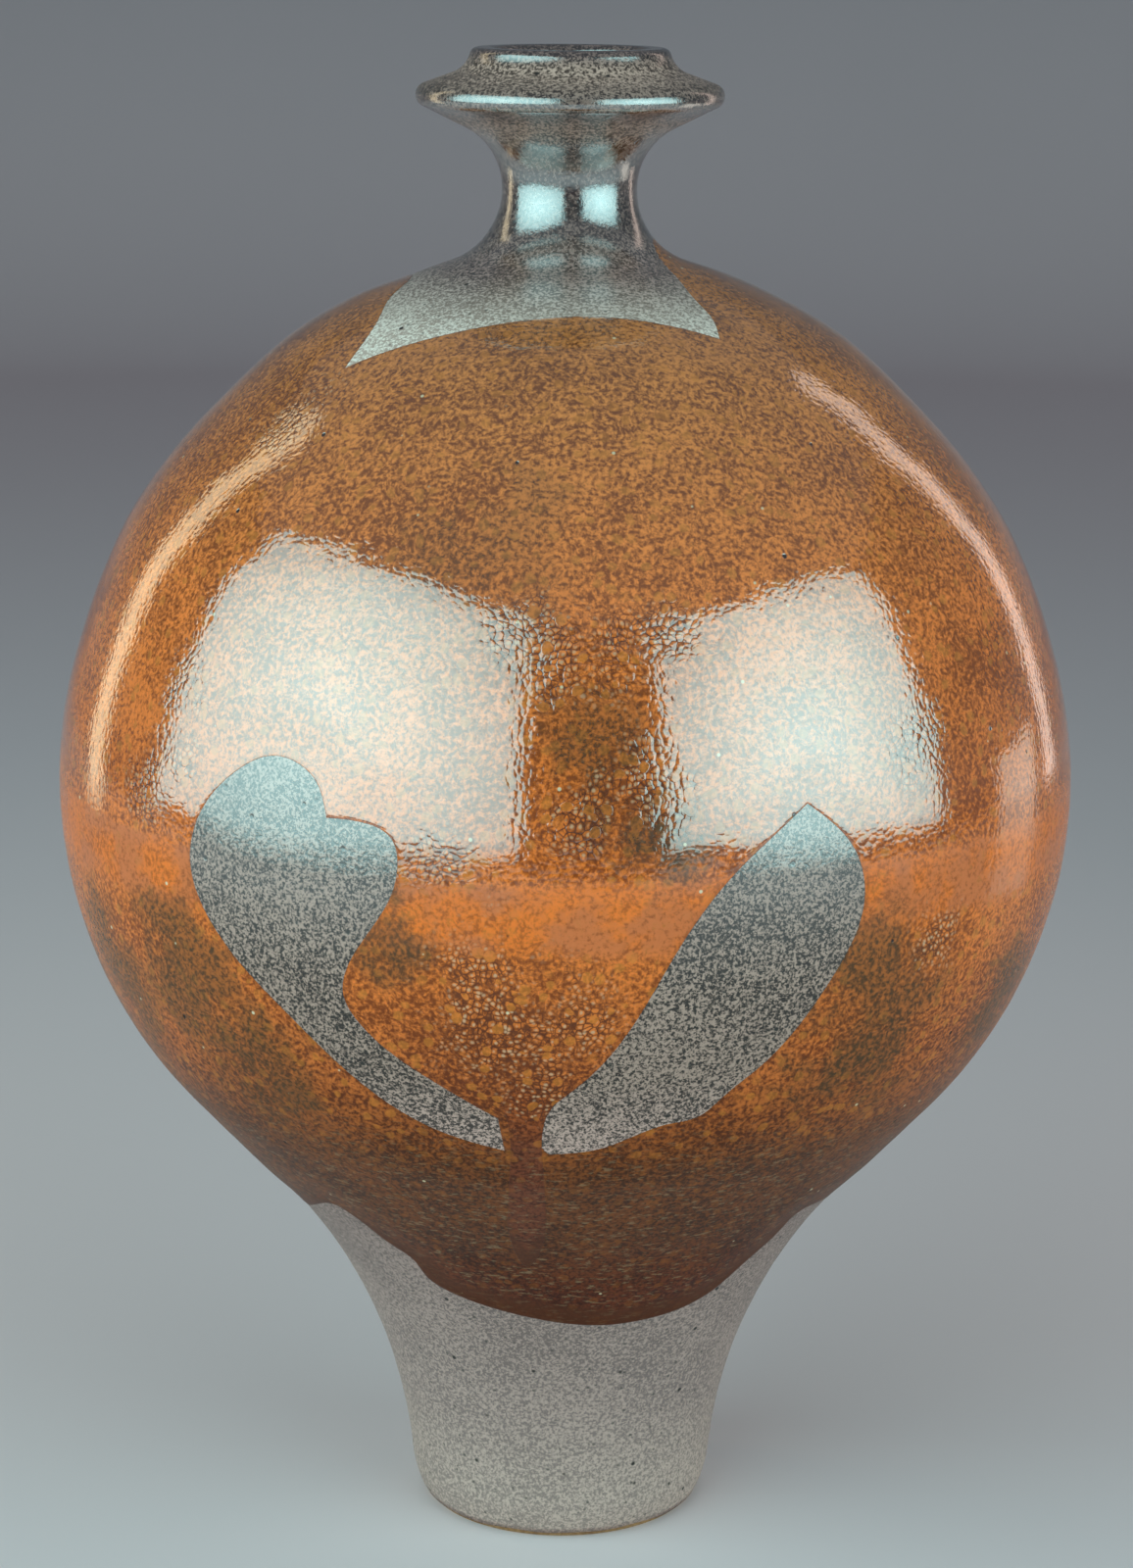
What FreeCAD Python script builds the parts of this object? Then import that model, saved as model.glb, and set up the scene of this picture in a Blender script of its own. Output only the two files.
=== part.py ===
"""A thrown stoneware bottle jar: two bowls luted at the belly, a tall trimmed foot and a flanged neck.

The jar is made of four thrown sections, joined with slip and clay coils while leather hard. A grey ash
glaze covers the outside, an amber glaze is poured over it from four sides, and a thin liner glaze seals
the inside. Lengths are in millimetres and angles in degrees. The origin is the centre of the foot's
resting ring, +Z is up, and the front of the jar faces -Y.

Every wall follows one chain of tangent arcs. A station on the chain has the outward normal of the wall,
so a surface that lies deeper or prouder by some thickness is the same station moved along its normal.
"""
import FreeCAD, Part
import math
import os

import Sketcher

SHEET = "Sizes"

# Driving sizes: name, value, meaning. Radii of the wall are those of the clay, under its glazes.
SIZES = (
    ("belly_radius", 102.55, "widest radius"),
    ("belly_height", 157.75, "height of the widest place"),
    ("belly_arc_radius", 92.7, "arc round the widest place"),
    ("side_angle", 42.1, "lean of the straight side under the belly"),
    ("side_length", 26.3, "length of that straight side"),
    ("foot_flare_radius", 116.6, "hollow arc from the side down to the foot"),
    ("shoulder_start_angle", 12.0, "where the belly arc gives way to the flatter shoulder arc"),
    ("shoulder_arc_radius", 115.4, "arc of the shoulder"),
    ("neck_radius", 13.0, "narrowest radius of the neck"),
    ("neck_flare_radius", 15.6, "hollow arc from the shoulder to the neck"),
    ("flange_flare_radius", 13.8, "hollow arc from the neck to the flange"),
    ("flange_slope_angle", 64.0, "lean of the flange's underside from upright"),
    ("flange_radius", 30.2, "widest radius of the flange"),
    ("flange_edge_radius", 1.9, "rounding of the flange's edge"),
    ("flange_top_angle", 20.0, "rise of the flange's top towards the lip"),
    ("lip_rise", 8.8, "height of the lip above the middle of the flange's edge"),
    ("lip_reach", 19.5, "widest radius of the lip"),
    ("lip_radius", 1.2, "rounding of the lip's two corners"),
    ("lip_lean_angle", 15.0, "lean of the lip's outside from upright"),
    ("mouth_radius", 15.0, "inside radius of the mouth above the throat"),
    ("wall", 4.8, "thickness of the thrown wall"),
    ("floor_thickness", 9.0, "clay between the inside floor and the foot's recess"),
    ("floor_corner_radius", 8.0, "rounding where the floor meets the wall"),
    ("foot_edge_height", 9.0, "height at which the foot begins to round in"),
    ("foot_edge_radius", 22.0, "rounding of the foot towards the table"),
    ("foot_ring_width", 6.0, "width of the resting ring"),
    ("foot_recess_depth", 4.0, "depth trimmed out inside the ring"),
    ("foot_recess_draft", 1.0, "how far the recess narrows upwards"),
    ("slip_thickness", 1.0, "slip between two luted sections"),
    ("coil_width", 8.0, "width of the clay coil pressed into a seam from inside"),
    ("coil_depth", 2.4, "depth of that coil"),
    ("foot_joint_angle", 35.0, "place of the foot joint on its flare arc"),
    ("neck_joint_angle", 62.5, "place of the neck joint on the shoulder arc"),
    ("grey_glaze", 0.5, "thickness of the grey coat"),
    ("amber_glaze", 0.7, "thickness of the amber coat"),
    ("liner_glaze", 0.4, "thickness of the inside coat"),
    ("bare_foot_height", 1.3, "bare clay left at the foot"),
    ("amber_edge_drop", 104.55, "how far under the widest place the amber's lower edge reaches"),
    ("amber_edge_wave", 25.5, "rise from there to the highest place of that edge"),
    ("amber_side_rise", 12.8, "rise of that edge at the two sides"),
    ("amber_band_allowance", 3.0, "amber made below that edge and cut away again"),
    ("left_window_near", 10.9, "nearest reach of the left bare window to the middle"),
    ("left_window_width", 59.6, "width of the left window, seen from the front"),
    ("left_window_drop", 53.15, "how far under the widest place it reaches"),
    ("left_window_height", 76.2, "its height"),
    ("right_window_near", -3.7, "nearest reach of the right bare window to the middle"),
    ("right_window_width", 59.4, "width of the right window, seen from the front"),
    ("right_window_drop", 53.75, "how far under the widest place it reaches"),
    ("right_window_height", 70.1, "its height"),
    ("patch_reach", 40.0, "half width of the bare patch round the neck, seen from above"),
    ("patch_depth", 70.0, "how far that patch's cut reaches down from the neck's waist"),
    ("run_thickness", 0.4, "how far the glaze run stands proud of the amber"),
    ("run_width", 8.0, "width of the run"),
    ("run_length", 52.0, "length of the run"),
    ("run_drop", 86.75, "how far under the widest place the run reaches"),
    ("run_middle", -6.6, "place of the run across the front"),
    ("cut_overrun", 20.0, "how far a cut reaches past the surface that it cuts"),
)

# Places that follow from the driving sizes, as formulas of the sheet.
DERIVED = (
    ("belly_centre_r", "=belly_radius - belly_arc_radius"),
    ("shoulder_centre_r", "=belly_centre_r - (shoulder_arc_radius - belly_arc_radius) * cos(shoulder_start_angle)"),
    ("shoulder_centre_z", "=belly_height - (shoulder_arc_radius - belly_arc_radius) * sin(shoulder_start_angle)"),
    ("flare_centre_r", "=belly_centre_r + (belly_arc_radius + foot_flare_radius) * cos(side_angle)"
                       " - side_length * sin(side_angle)"),
    ("flare_centre_z", "=belly_height - (belly_arc_radius + foot_flare_radius) * sin(side_angle)"
                       " - side_length * cos(side_angle)"),
    ("foot_top_sin", "=(foot_edge_height - flare_centre_z) / foot_flare_radius"),
    ("foot_top_cos", "=sqrt(1 - foot_top_sin ^ 2)"),
    ("foot_centre_r", "=flare_centre_r - (foot_flare_radius + foot_edge_radius) * foot_top_cos"),
    ("foot_centre_z", "=flare_centre_z + (foot_flare_radius + foot_edge_radius) * foot_top_sin"),
    ("foot_contact_sin", "=foot_centre_z / foot_edge_radius"),
    ("foot_contact_radius", "=foot_centre_r + foot_edge_radius * sqrt(1 - foot_contact_sin ^ 2)"),
    ("glaze_foot_sin", "=(foot_centre_z - bare_foot_height) / foot_edge_radius"),
    ("floor_top", "=foot_recess_depth + floor_thickness"),
    ("floor_bend", "=floor_top + floor_corner_radius"),
    ("neck_centre_r", "=neck_radius + neck_flare_radius"),
    ("neck_meet_cos", "=(neck_centre_r - shoulder_centre_r) / (shoulder_arc_radius + neck_flare_radius)"),
    ("neck_meet_sin", "=sqrt(1 - neck_meet_cos ^ 2)"),
    ("waist_height", "=shoulder_centre_z + (shoulder_arc_radius + neck_flare_radius) * neck_meet_sin"),
    ("flange_centre_r", "=neck_radius + flange_flare_radius"),
    ("edge_centre_r", "=flange_radius - flange_edge_radius"),
    ("underside_length", "=(edge_centre_r - flange_centre_r + (flange_flare_radius + flange_edge_radius)"
                         " * cos(flange_slope_angle)) / sin(flange_slope_angle)"),
    ("edge_centre_z", "=waist_height + (flange_flare_radius + flange_edge_radius) * sin(flange_slope_angle)"
                      " + underside_length * cos(flange_slope_angle)"),
    ("lip_centre_z", "=edge_centre_z + lip_rise - lip_radius"),
    ("lip_outer_centre_r", "=lip_reach - lip_radius"),
    ("lip_inner_centre_r", "=mouth_radius + lip_radius"),
    ("cove_turn", "=sin(flange_top_angle + lip_lean_angle)"),
    ("cove_radius", "=((lip_outer_centre_r - edge_centre_r) * sin(flange_top_angle)"
                    " + (lip_centre_z - edge_centre_z) * cos(flange_top_angle) - flange_edge_radius"
                    " + lip_radius * cove_turn) / (1 - cove_turn)"),
    ("cove_centre_r", "=lip_outer_centre_r + (lip_radius + cove_radius) * cos(lip_lean_angle)"),
    ("cove_centre_z", "=lip_centre_z + (lip_radius + cove_radius) * sin(lip_lean_angle)"),
    ("throat_arc_radius", "=flange_flare_radius + wall"),
    ("foot_slip_turn", "=slip_thickness / foot_flare_radius * 90 / pi"),
    ("belly_slip_turn", "=slip_thickness / belly_arc_radius * 90 / pi"),
    ("neck_slip_turn", "=slip_thickness / shoulder_arc_radius * 90 / pi"),
    ("foot_coil_turn", "=coil_width / foot_flare_radius * 90 / pi"),
    ("belly_coil_turn", "=coil_width / belly_arc_radius * 90 / pi"),
    ("amber_edge_low", "=belly_height - amber_edge_drop"),
    ("amber_edge_high", "=amber_edge_low + amber_edge_wave"),
    ("amber_side_height", "=amber_edge_low + amber_side_rise"),
    ("left_window_foot", "=belly_height - left_window_drop"),
    ("right_window_foot", "=belly_height - right_window_drop"),
    ("run_foot", "=belly_height - run_drop"),
    ("amber_low_sin", "=(amber_edge_low - amber_band_allowance - flare_centre_z) / foot_flare_radius"),
    ("run_low_sin", "=(run_foot - amber_band_allowance - flare_centre_z) / foot_flare_radius"),
)

# Outlines of the glaze, as shares of the sizes of each figure. A figure is a list of sides, and each side
# runs as one smooth curve from corner to corner.
LEFT_WINDOW_SHARES = (
    ((0.0, 0.0), (0.23, 0.06), (0.46, 0.18), (0.69, 0.35), (0.92, 0.54), (1.0, 0.7), (0.95, 0.85),
     (0.84, 0.95), (0.7, 1.0), (0.59, 0.96), (0.55, 0.87)),
    ((0.55, 0.87), (0.45, 0.87), (0.35, 0.84), (0.33, 0.75), (0.45, 0.56), (0.5, 0.42), (0.45, 0.35),
     (0.24, 0.215), (0.02, 0.105)),
    ((0.02, 0.105), (0.0, 0.0)),
)
RIGHT_WINDOW_SHARES = (
    ((0.02, 0.0), (0.18, 0.02), (0.4, 0.1), (0.485, 0.115), (0.565, 0.175), (0.7, 0.28), (0.83, 0.415),
     (0.92, 0.535), (1.0, 0.71), (0.96, 0.87), (0.81, 1.0)),
    ((0.81, 1.0), (0.755, 0.96), (0.605, 0.85), (0.435, 0.665), (0.28, 0.425), (0.145, 0.265),
     (0.035, 0.175)),
    ((0.035, 0.175), (0.0, 0.02), (0.02, 0.0)),
)
LOWER_EDGE_SHARES = (
    (-1.0, 0.5), (-0.985, 0.64), (-0.95, 0.76), (-0.85, 1.0), (-0.74, 0.875), (-0.64, 0.69),
    (-0.55, 0.55), (-0.5, 0.38), (-0.4, 0.25), (-0.28, 0.17), (-0.1, 0.08), (0.18, 0.0), (0.31, 0.015),
    (0.47, 0.08), (0.6, 0.23), (0.7, 0.43), (0.81, 0.66), (0.905, 0.885), (0.97, 0.855), (1.015, 0.68),
    (1.0, 0.5),
)
PATCH_SHARES = (
    ((-1.07, -0.96), (-0.83, -1.0), (-0.43, -1.03), (-0.01, -1.01), (0.36, -0.99), (0.725, -0.97)),
    ((0.725, -0.97), (0.69, -0.79), (0.62, -0.66), (0.55, -0.47), (0.44, -0.2), (0.47, 0.1),
     (0.66, 0.42), (0.9, 0.86)),
    ((0.9, 0.86), (0.5, 0.98), (0.0, 1.0), (-0.5, 0.95), (-0.98, 0.9)),
    ((-0.98, 0.9), (-0.87, 0.5), (-0.8, 0.1), (-0.82, -0.2), (-0.89, -0.4), (-0.93, -0.64),
     (-0.99, -0.82), (-1.07, -0.96)),
)
RUN_SHARES = (
    ((-0.75, 0.94), (-0.55, 0.76), (-0.48, 0.56), (-0.45, 0.36), (-0.42, 0.15), (0.0, 0.0),
     (0.42, 0.15), (0.45, 0.36), (0.42, 0.56), (0.45, 0.74), (0.62, 0.9)),
    ((0.62, 0.9), (0.0, 1.0), (-0.75, 0.94)),
)

doc = FreeCAD.newDocument("bottle_jar")
sheet = doc.addObject("Spreadsheet::Sheet", SHEET)


def fill_sheet():
    """Write the driving sizes and the places that follow from them into the sheet."""
    for row, (alias, value, meaning) in enumerate(SIZES, start=1):
        sheet.set(f"A{row}", alias)
        sheet.set(f"B{row}", str(value))
        sheet.set(f"C{row}", meaning)
        sheet.setAlias(f"B{row}", alias)
    for row, (alias, formula) in enumerate(DERIVED, start=len(SIZES) + 1):
        sheet.set(f"A{row}", alias)
        sheet.set(f"B{row}", formula)
        sheet.setAlias(f"B{row}", alias)
    doc.recompute()


def cell(alias):
    """The sheet's name for a size, as an expression writes it."""
    return f"{SHEET}.{alias}"


def value_of(expression):
    """The number that an expression of the sheet's sizes comes to."""
    return float(sheet.evalExpression(expression))


class Arc:
    """A round stretch of the wall. It swells outward, or is hollow where swell is -1."""

    def __init__(self, centre_r, centre_z, radius, swell=1):
        self.centre = (cell(centre_r), cell(centre_z))
        self.radius = cell(radius)
        self.swell = swell

    def reach(self, offset):
        """Signed distance from the arc's centre to the surface that lies offset proud of the clay."""
        return f"({self.swell} * {self.radius} + ({offset}))"

    def point(self, normal, offset):
        """The place with this outward normal, on the surface that lies offset proud of the clay."""
        return tuple(f"{middle} + {self.reach(offset)} * ({share})"
                     for middle, share in zip(self.centre, normal))


FOOT_EDGE = Arc("foot_centre_r", "foot_centre_z", "foot_edge_radius")
FLARE = Arc("flare_centre_r", "flare_centre_z", "foot_flare_radius", -1)
BELLY = Arc("belly_centre_r", "belly_height", "belly_arc_radius")
SHOULDER = Arc("shoulder_centre_r", "shoulder_centre_z", "shoulder_arc_radius")
NECK = Arc("neck_centre_r", "waist_height", "neck_flare_radius", -1)
FLANGE = Arc("flange_centre_r", "waist_height", "flange_flare_radius", -1)
EDGE = Arc("edge_centre_r", "edge_centre_z", "flange_edge_radius")
COVE = Arc("cove_centre_r", "cove_centre_z", "cove_radius", -1)
LIP_OUTER = Arc("lip_outer_centre_r", "lip_centre_z", "lip_radius")
LIP_INNER = Arc("lip_inner_centre_r", "lip_centre_z", "lip_radius")
THROAT = Arc("flange_centre_r", "waist_height", "throat_arc_radius")
STRAIGHT = None


def leaning(angle):
    """Outward normal that rises by this angle."""
    return f"cos({angle})", f"sin({angle})"


def drooping(sine):
    """Outward normal that falls, given the sine of its fall."""
    return f"sqrt(1 - ({sine}) ^ 2)", f"-({sine})"


FOOT_JOINT, NECK_JOINT = cell("foot_joint_angle"), cell("neck_joint_angle")
FLANGE_SLOPE, FLANGE_TOP = cell("flange_slope_angle"), cell("flange_top_angle")
SIDE_NORMAL = leaning("-" + cell("side_angle"))
UNDERSIDE_NORMAL = leaning("-" + FLANGE_SLOPE)
TOP_NORMAL = (f"sin({FLANGE_TOP})", f"cos({FLANGE_TOP})")

# Stations of the outer wall from the foot to the throat: name, arc, outward normal, what leads onward.
STATIONS = (
    ("contact", FOOT_EDGE, drooping(cell("foot_contact_sin")), FOOT_EDGE),
    ("glaze_foot", FOOT_EDGE, drooping(cell("glaze_foot_sin")), FOOT_EDGE),
    ("foot_top", FLARE, drooping(cell("foot_top_sin")), FLARE),
    ("amber_low", FLARE, drooping(cell("amber_low_sin")), FLARE),
    ("foot_coil_low", FLARE, leaning(f"-({FOOT_JOINT} - {cell('foot_coil_turn')})"), FLARE),
    ("foot_joint_low", FLARE, leaning(f"-({FOOT_JOINT} - {cell('foot_slip_turn')})"), FLARE),
    ("foot_joint_high", FLARE, leaning(f"-({FOOT_JOINT} + {cell('foot_slip_turn')})"), FLARE),
    ("foot_coil_high", FLARE, leaning(f"-({FOOT_JOINT} + {cell('foot_coil_turn')})"), FLARE),
    ("run_low", FLARE, drooping(cell("run_low_sin")), FLARE),
    ("side_low", FLARE, SIDE_NORMAL, STRAIGHT),
    ("side_high", BELLY, SIDE_NORMAL, BELLY),
    ("belly_coil_low", BELLY, leaning("-" + cell("belly_coil_turn")), BELLY),
    ("belly_joint_low", BELLY, leaning("-" + cell("belly_slip_turn")), BELLY),
    ("belly_joint_high", BELLY, leaning(cell("belly_slip_turn")), BELLY),
    ("belly_coil_high", BELLY, leaning(cell("belly_coil_turn")), BELLY),
    ("shoulder_low", SHOULDER, leaning(cell("shoulder_start_angle")), SHOULDER),
    ("neck_joint_low", SHOULDER, leaning(f"{NECK_JOINT} - {cell('neck_slip_turn')}"), SHOULDER),
    ("neck_joint_high", SHOULDER, leaning(f"{NECK_JOINT} + {cell('neck_slip_turn')}"), SHOULDER),
    ("shoulder_high", NECK, (cell("neck_meet_cos"), cell("neck_meet_sin")), NECK),
    ("waist", FLANGE, ("1", "0"), FLANGE),
    ("flange_low", FLANGE, UNDERSIDE_NORMAL, STRAIGHT),
    ("edge_low", EDGE, UNDERSIDE_NORMAL, EDGE),
    ("edge_high", EDGE, TOP_NORMAL, STRAIGHT),
    ("cove_low", COVE, TOP_NORMAL, COVE),
    ("cove_high", LIP_OUTER, leaning(cell("lip_lean_angle")), LIP_OUTER),
    ("lip_outer", LIP_OUTER, ("0", "1"), STRAIGHT),
    ("lip_inner", LIP_INNER, ("0", "1"), LIP_INNER),
    ("mouth_top", LIP_INNER, ("-1", "0"), STRAIGHT),
    ("mouth_foot", THROAT, None, THROAT),
    ("throat", THROAT, ("-1", "0"), STRAIGHT),
)
STATION_NAMES = [name for name, *_ in STATIONS]


def mouth_foot(offset):
    """Where the upright wall of the mouth meets the throat's arc."""
    inset = f"({cell('flange_centre_r')} - {cell('mouth_radius')} + ({offset}))"
    return (f"{cell('mouth_radius')} - ({offset})",
            f"{cell('waist_height')} + sqrt({THROAT.reach(offset)} ^ 2 - {inset} ^ 2)")


def station(name, offset):
    """Place of a station, on the surface that lies offset proud of the clay."""
    if name == "mouth_foot":
        return mouth_foot(offset)
    _, arc, normal, _ = STATIONS[STATION_NAMES.index(name)]
    return arc.point(normal, offset)


def run_of_wall(first, last, offset):
    """Vertices up the wall from one station to another, each with the radius of the arc that leads on."""
    low, high = STATION_NAMES.index(first), STATION_NAMES.index(last)
    vertices = []
    for index in range(low, high + 1):
        name, _, _, onward = STATIONS[index]
        arriving = STATIONS[index - 1][3]
        if low < index < high and onward is arriving:
            continue
        bend = None if onward is STRAIGHT else (onward.centre, onward.reach(offset))
        vertices.append((station(name, offset), bend))
    vertices[-1] = (vertices[-1][0], None)
    return vertices


def downward(vertices):
    """The same stretch walked the other way."""
    places = [place for place, _ in vertices][::-1]
    bends = [bend for _, bend in vertices[:-1]][::-1]
    return list(zip(places, bends + [None]))


def corner(radius_place, height_place, bend=None):
    """One vertex of an outline from two expressions."""
    return ((radius_place, height_place), bend)


def add_arc(sketch, start, end, centre, reach):
    """Add an arc between two places and return its index and whether it runs backwards."""
    middle = FreeCAD.Vector(value_of(centre[0]), value_of(centre[1]), 0)
    turn = [math.atan2(place.y - middle.y, place.x - middle.x) for place in (start, end)]
    backwards = (turn[1] - turn[0]) % (2 * math.pi) > math.pi
    if backwards:
        turn.reverse()
    circle = Part.Circle(middle, FreeCAD.Vector(0, 0, 1), abs(value_of(reach)))
    return sketch.addGeometry(Part.ArcOfCircle(circle, turn[0], turn[1])), backwards


def ring_body(label, vertices):
    """A body turned about the vertical axis from a closed outline whose every size is bound to the sheet."""
    body = doc.addObject("PartDesign::Body", label)
    sketch = body.newObject("Sketcher::SketchObject", label + "_outline")
    plane = next(item for item in body.Origin.OriginFeatures if item.Role == "XZ_Plane")
    sketch.AttachmentSupport = [(plane, "")]
    sketch.MapMode = "FlatFace"
    places = [FreeCAD.Vector(value_of(r), value_of(z), 0) for (r, z), _ in vertices]
    ends = []
    for index, ((_, bend), start) in enumerate(zip(vertices, places)):
        end = places[(index + 1) % len(places)]
        if bend is None:
            ends.append((sketch.addGeometry(Part.LineSegment(start, end)), 1, 2))
        else:
            geometry, backwards = add_arc(sketch, start, end, *bend)
            ends.append((geometry, 2, 1) if backwards else (geometry, 1, 2))
            bound = sketch.addConstraint(Sketcher.Constraint("Radius", geometry, abs(value_of(bend[1]))))
            sketch.setExpression(f"Constraints[{bound}]", f"abs({bend[1]})")
    for index, (geometry, start_point, _) in enumerate(ends):
        before, _, before_end = ends[index - 1]
        sketch.addConstraint(Sketcher.Constraint("Coincident", before, before_end, geometry, start_point))
    for (geometry, point, _), ((r, z), _), place in zip(ends, vertices, places):
        for kind, expression, number in (("DistanceX", r, place.x), ("DistanceY", z, place.y)):
            if expression == "0":
                axis = -2 if kind == "DistanceX" else -1
                sketch.addConstraint(Sketcher.Constraint("PointOnObject", geometry, point, axis))
                continue
            bound = sketch.addConstraint(Sketcher.Constraint(kind, -1, 1, geometry, point, number))
            sketch.setExpression(f"Constraints[{bound}]", expression)
    turned = body.newObject("PartDesign::Revolution", label + "_turned")
    turned.Profile = sketch
    turned.ReferenceAxis = (sketch, ["V_Axis"])
    turned.Angle = 360
    sketch.Visibility = False
    return body


def band_body(label, first, last, inner_offset, outer_offset):
    """A ring of even thickness between two stations of the wall."""
    outside = run_of_wall(first, last, outer_offset)
    inside = downward(run_of_wall(first, last, inner_offset))
    return ring_body(label, outside + inside)


def floor_corner(depth):
    """The rounded corner between wall and floor and the floor's centre, depth inside the clay's outside."""
    sunk = f"({depth} - {cell('wall')})"
    radius = f"({cell('floor_corner_radius')} - {sunk})"
    wall_reach = f"({cell('foot_flare_radius')} + {depth})"
    rise = f"({cell('floor_bend')} - {cell('flare_centre_z')})"
    wall_r = f"{cell('flare_centre_r')} - sqrt({wall_reach} ^ 2 - {rise} ^ 2)"
    floor_z = f"{cell('floor_top')} + {sunk}"
    middle = (f"{wall_r} - {radius}", cell("floor_bend"))
    return [
        corner(wall_r, cell("floor_bend"), (middle, radius)),
        corner(f"{wall_r} - {radius}", floor_z),
        corner("0", floor_z),
    ]


def inside_down(first, depth):
    """Vertices of the inside from a station down the flare to the middle of the floor."""
    stretch = downward(run_of_wall("foot_top", first, "-" + depth))
    floor = floor_corner(depth)
    flare = (FLARE.centre, FLARE.reach("-" + depth))
    return stretch[:-2] + [(stretch[-2][0], flare)] + floor


def make_foot_stem():
    """The tall foot: outside flare, foot ring trimmed underneath, and the jar's floor."""
    wall = cell("wall")
    ring_inner = f"{cell('foot_contact_radius')} - {cell('foot_ring_width')}"
    seam_depth = f"-({wall} - {cell('coil_depth')})"
    outline = run_of_wall("contact", "foot_joint_low", "0")
    outline += [(station("foot_joint_low", seam_depth), None)]
    outline += inside_down("foot_coil_low", wall)
    outline += [
        corner("0", cell("foot_recess_depth")),
        corner(f"{ring_inner} - {cell('foot_recess_draft')}", cell("foot_recess_depth")),
        corner(ring_inner, "0"),
    ]
    return ring_body("foot_stem", outline)


def make_lower_bowl():
    """The lower thrown bowl, bevelled inside at both rims for the seam coils."""
    wall = cell("wall")
    seam_depth = f"-({wall} - {cell('coil_depth')})"
    outline = run_of_wall("foot_joint_high", "belly_joint_low", "0")
    outline += [(station("belly_joint_low", seam_depth), None)]
    outline += downward(run_of_wall("foot_coil_high", "belly_coil_low", "-" + wall))
    outline += [(station("foot_joint_high", seam_depth), None)]
    return ring_body("lower_bowl", outline)


def make_upper_bowl():
    """The upper thrown bowl, turned over and closed in to the shoulder."""
    wall = cell("wall")
    seam_depth = f"-({wall} - {cell('coil_depth')})"
    outline = run_of_wall("belly_joint_high", "neck_joint_low", "0")
    outline += downward(run_of_wall("belly_coil_high", "neck_joint_low", "-" + wall))
    outline += [(station("belly_joint_high", seam_depth), None)]
    return ring_body("upper_bowl", outline)


def make_neck_rim():
    """The neck with its flange and lip, thrown in one."""
    outline = run_of_wall("neck_joint_high", "throat", "0")[:-1]
    outline += downward(run_of_wall("neck_joint_high", "waist", "-" + cell("wall")))
    return ring_body("neck_rim", outline)


def make_slip(label, joint, depth):
    """Slip between two sections, from the outside in to the seam coil or the inner wall."""
    return band_body(label, joint + "_low", joint + "_high", "-" + depth, "0")


def make_seam_coil(label, joint, coil, arc):
    """A clay coil that fills the groove along a seam, flush with the inner wall."""
    wall = cell("wall")
    seam_depth = f"-({wall} - {cell('coil_depth')})"
    outline = run_of_wall(joint + "_low", joint + "_high", seam_depth)
    outline += [
        (station(coil + "_high", "-" + wall), (arc.centre, arc.reach("-" + wall))),
        (station(coil + "_low", "-" + wall), None),
    ]
    return ring_body(label, outline)


def make_liner_glaze():
    """The thin glaze that seals the inside, from the floor up to the throat."""
    wall = cell("wall")
    depth = f"({wall} + {cell('liner_glaze')})"
    against_clay = inside_down("waist", wall)
    bare = inside_down("waist", depth)
    return ring_body("liner_glaze", bare + downward(against_clay))


def smooth_side(places):
    """One smooth curve through the places, or a straight line between two."""
    if len(places) == 2:
        return Part.makeLine(*places)
    curve = Part.BSplineCurve()
    curve.interpolate(places)
    return curve.toShape()


def front_figure(shares, near, foot, width, height):
    """A flat figure on the jar's middle plane, seen from the front, from its sides in shares."""
    edges = [smooth_side([FreeCAD.Vector(near + width * across, 0, foot + height * up)
                          for across, up in side]) for side in shares]
    return Part.Face(Part.Wire(edges))


def window_figure(side, shares, away):
    """The figure of a bare window on the side that away points to, 1 for right and -1 for left."""
    near, width, foot, height = (value_of(cell(f"{side}_window_{part}"))
                                 for part in ("near", "width", "foot", "height"))
    return front_figure(shares, away * near, foot, away * width, height)


def lower_edge_figure(beyond):
    """Everything under the amber's wavy lower edge, seen from the front."""
    low, high = value_of(cell("amber_edge_low")), value_of(cell("amber_edge_high"))
    side_height = value_of(cell("amber_side_height"))
    glaze = value_of(f"{cell('grey_glaze')} + {cell('amber_glaze')}")
    rise = side_height - value_of(cell("flare_centre_z"))
    reach = value_of(cell("flare_centre_r")) - math.sqrt(
        (value_of(cell("foot_flare_radius")) - glaze) ** 2 - rise ** 2)
    wave = [FreeCAD.Vector(reach * across, 0, low + (high - low) * up) for across, up in LOWER_EDGE_SHARES]
    wave[0].z = wave[-1].z = side_height
    bounds = [wave[-1], FreeCAD.Vector(beyond, 0, side_height), FreeCAD.Vector(beyond, 0, 0),
              FreeCAD.Vector(-beyond, 0, 0), FreeCAD.Vector(-beyond, 0, side_height), wave[0]]
    edges = [smooth_side(wave)] + [Part.makeLine(*pair) for pair in zip(bounds, bounds[1:])]
    return Part.Face(Part.Wire(edges))


def amber_openings():
    """What the four pours left bare: windows in front and behind, the neck patch, and all below the edge."""
    beyond = value_of(cell("belly_radius")) + value_of(cell("cut_overrun"))
    forward = FreeCAD.Vector(0, -beyond, 0)
    figures = [
        window_figure("left", LEFT_WINDOW_SHARES, -1),
        window_figure("right", RIGHT_WINDOW_SHARES, 1),
        lower_edge_figure(beyond),
    ]
    front = [figure.extrude(forward) for figure in figures]
    back = [solid.copy() for solid in front]
    for solid in back:
        solid.rotate(FreeCAD.Vector(0, 0, 0), FreeCAD.Vector(0, 0, 1), 180)
    reach, waist = value_of(cell("patch_reach")), value_of(cell("waist_height"))
    edges = [smooth_side([FreeCAD.Vector(reach * across, reach * away, waist) for across, away in side])
             for side in PATCH_SHARES]
    patch = Part.Face(Part.Wire(edges)).extrude(FreeCAD.Vector(0, 0, -value_of(cell("patch_depth"))))
    return Part.makeCompound(front + back + [patch])


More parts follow.
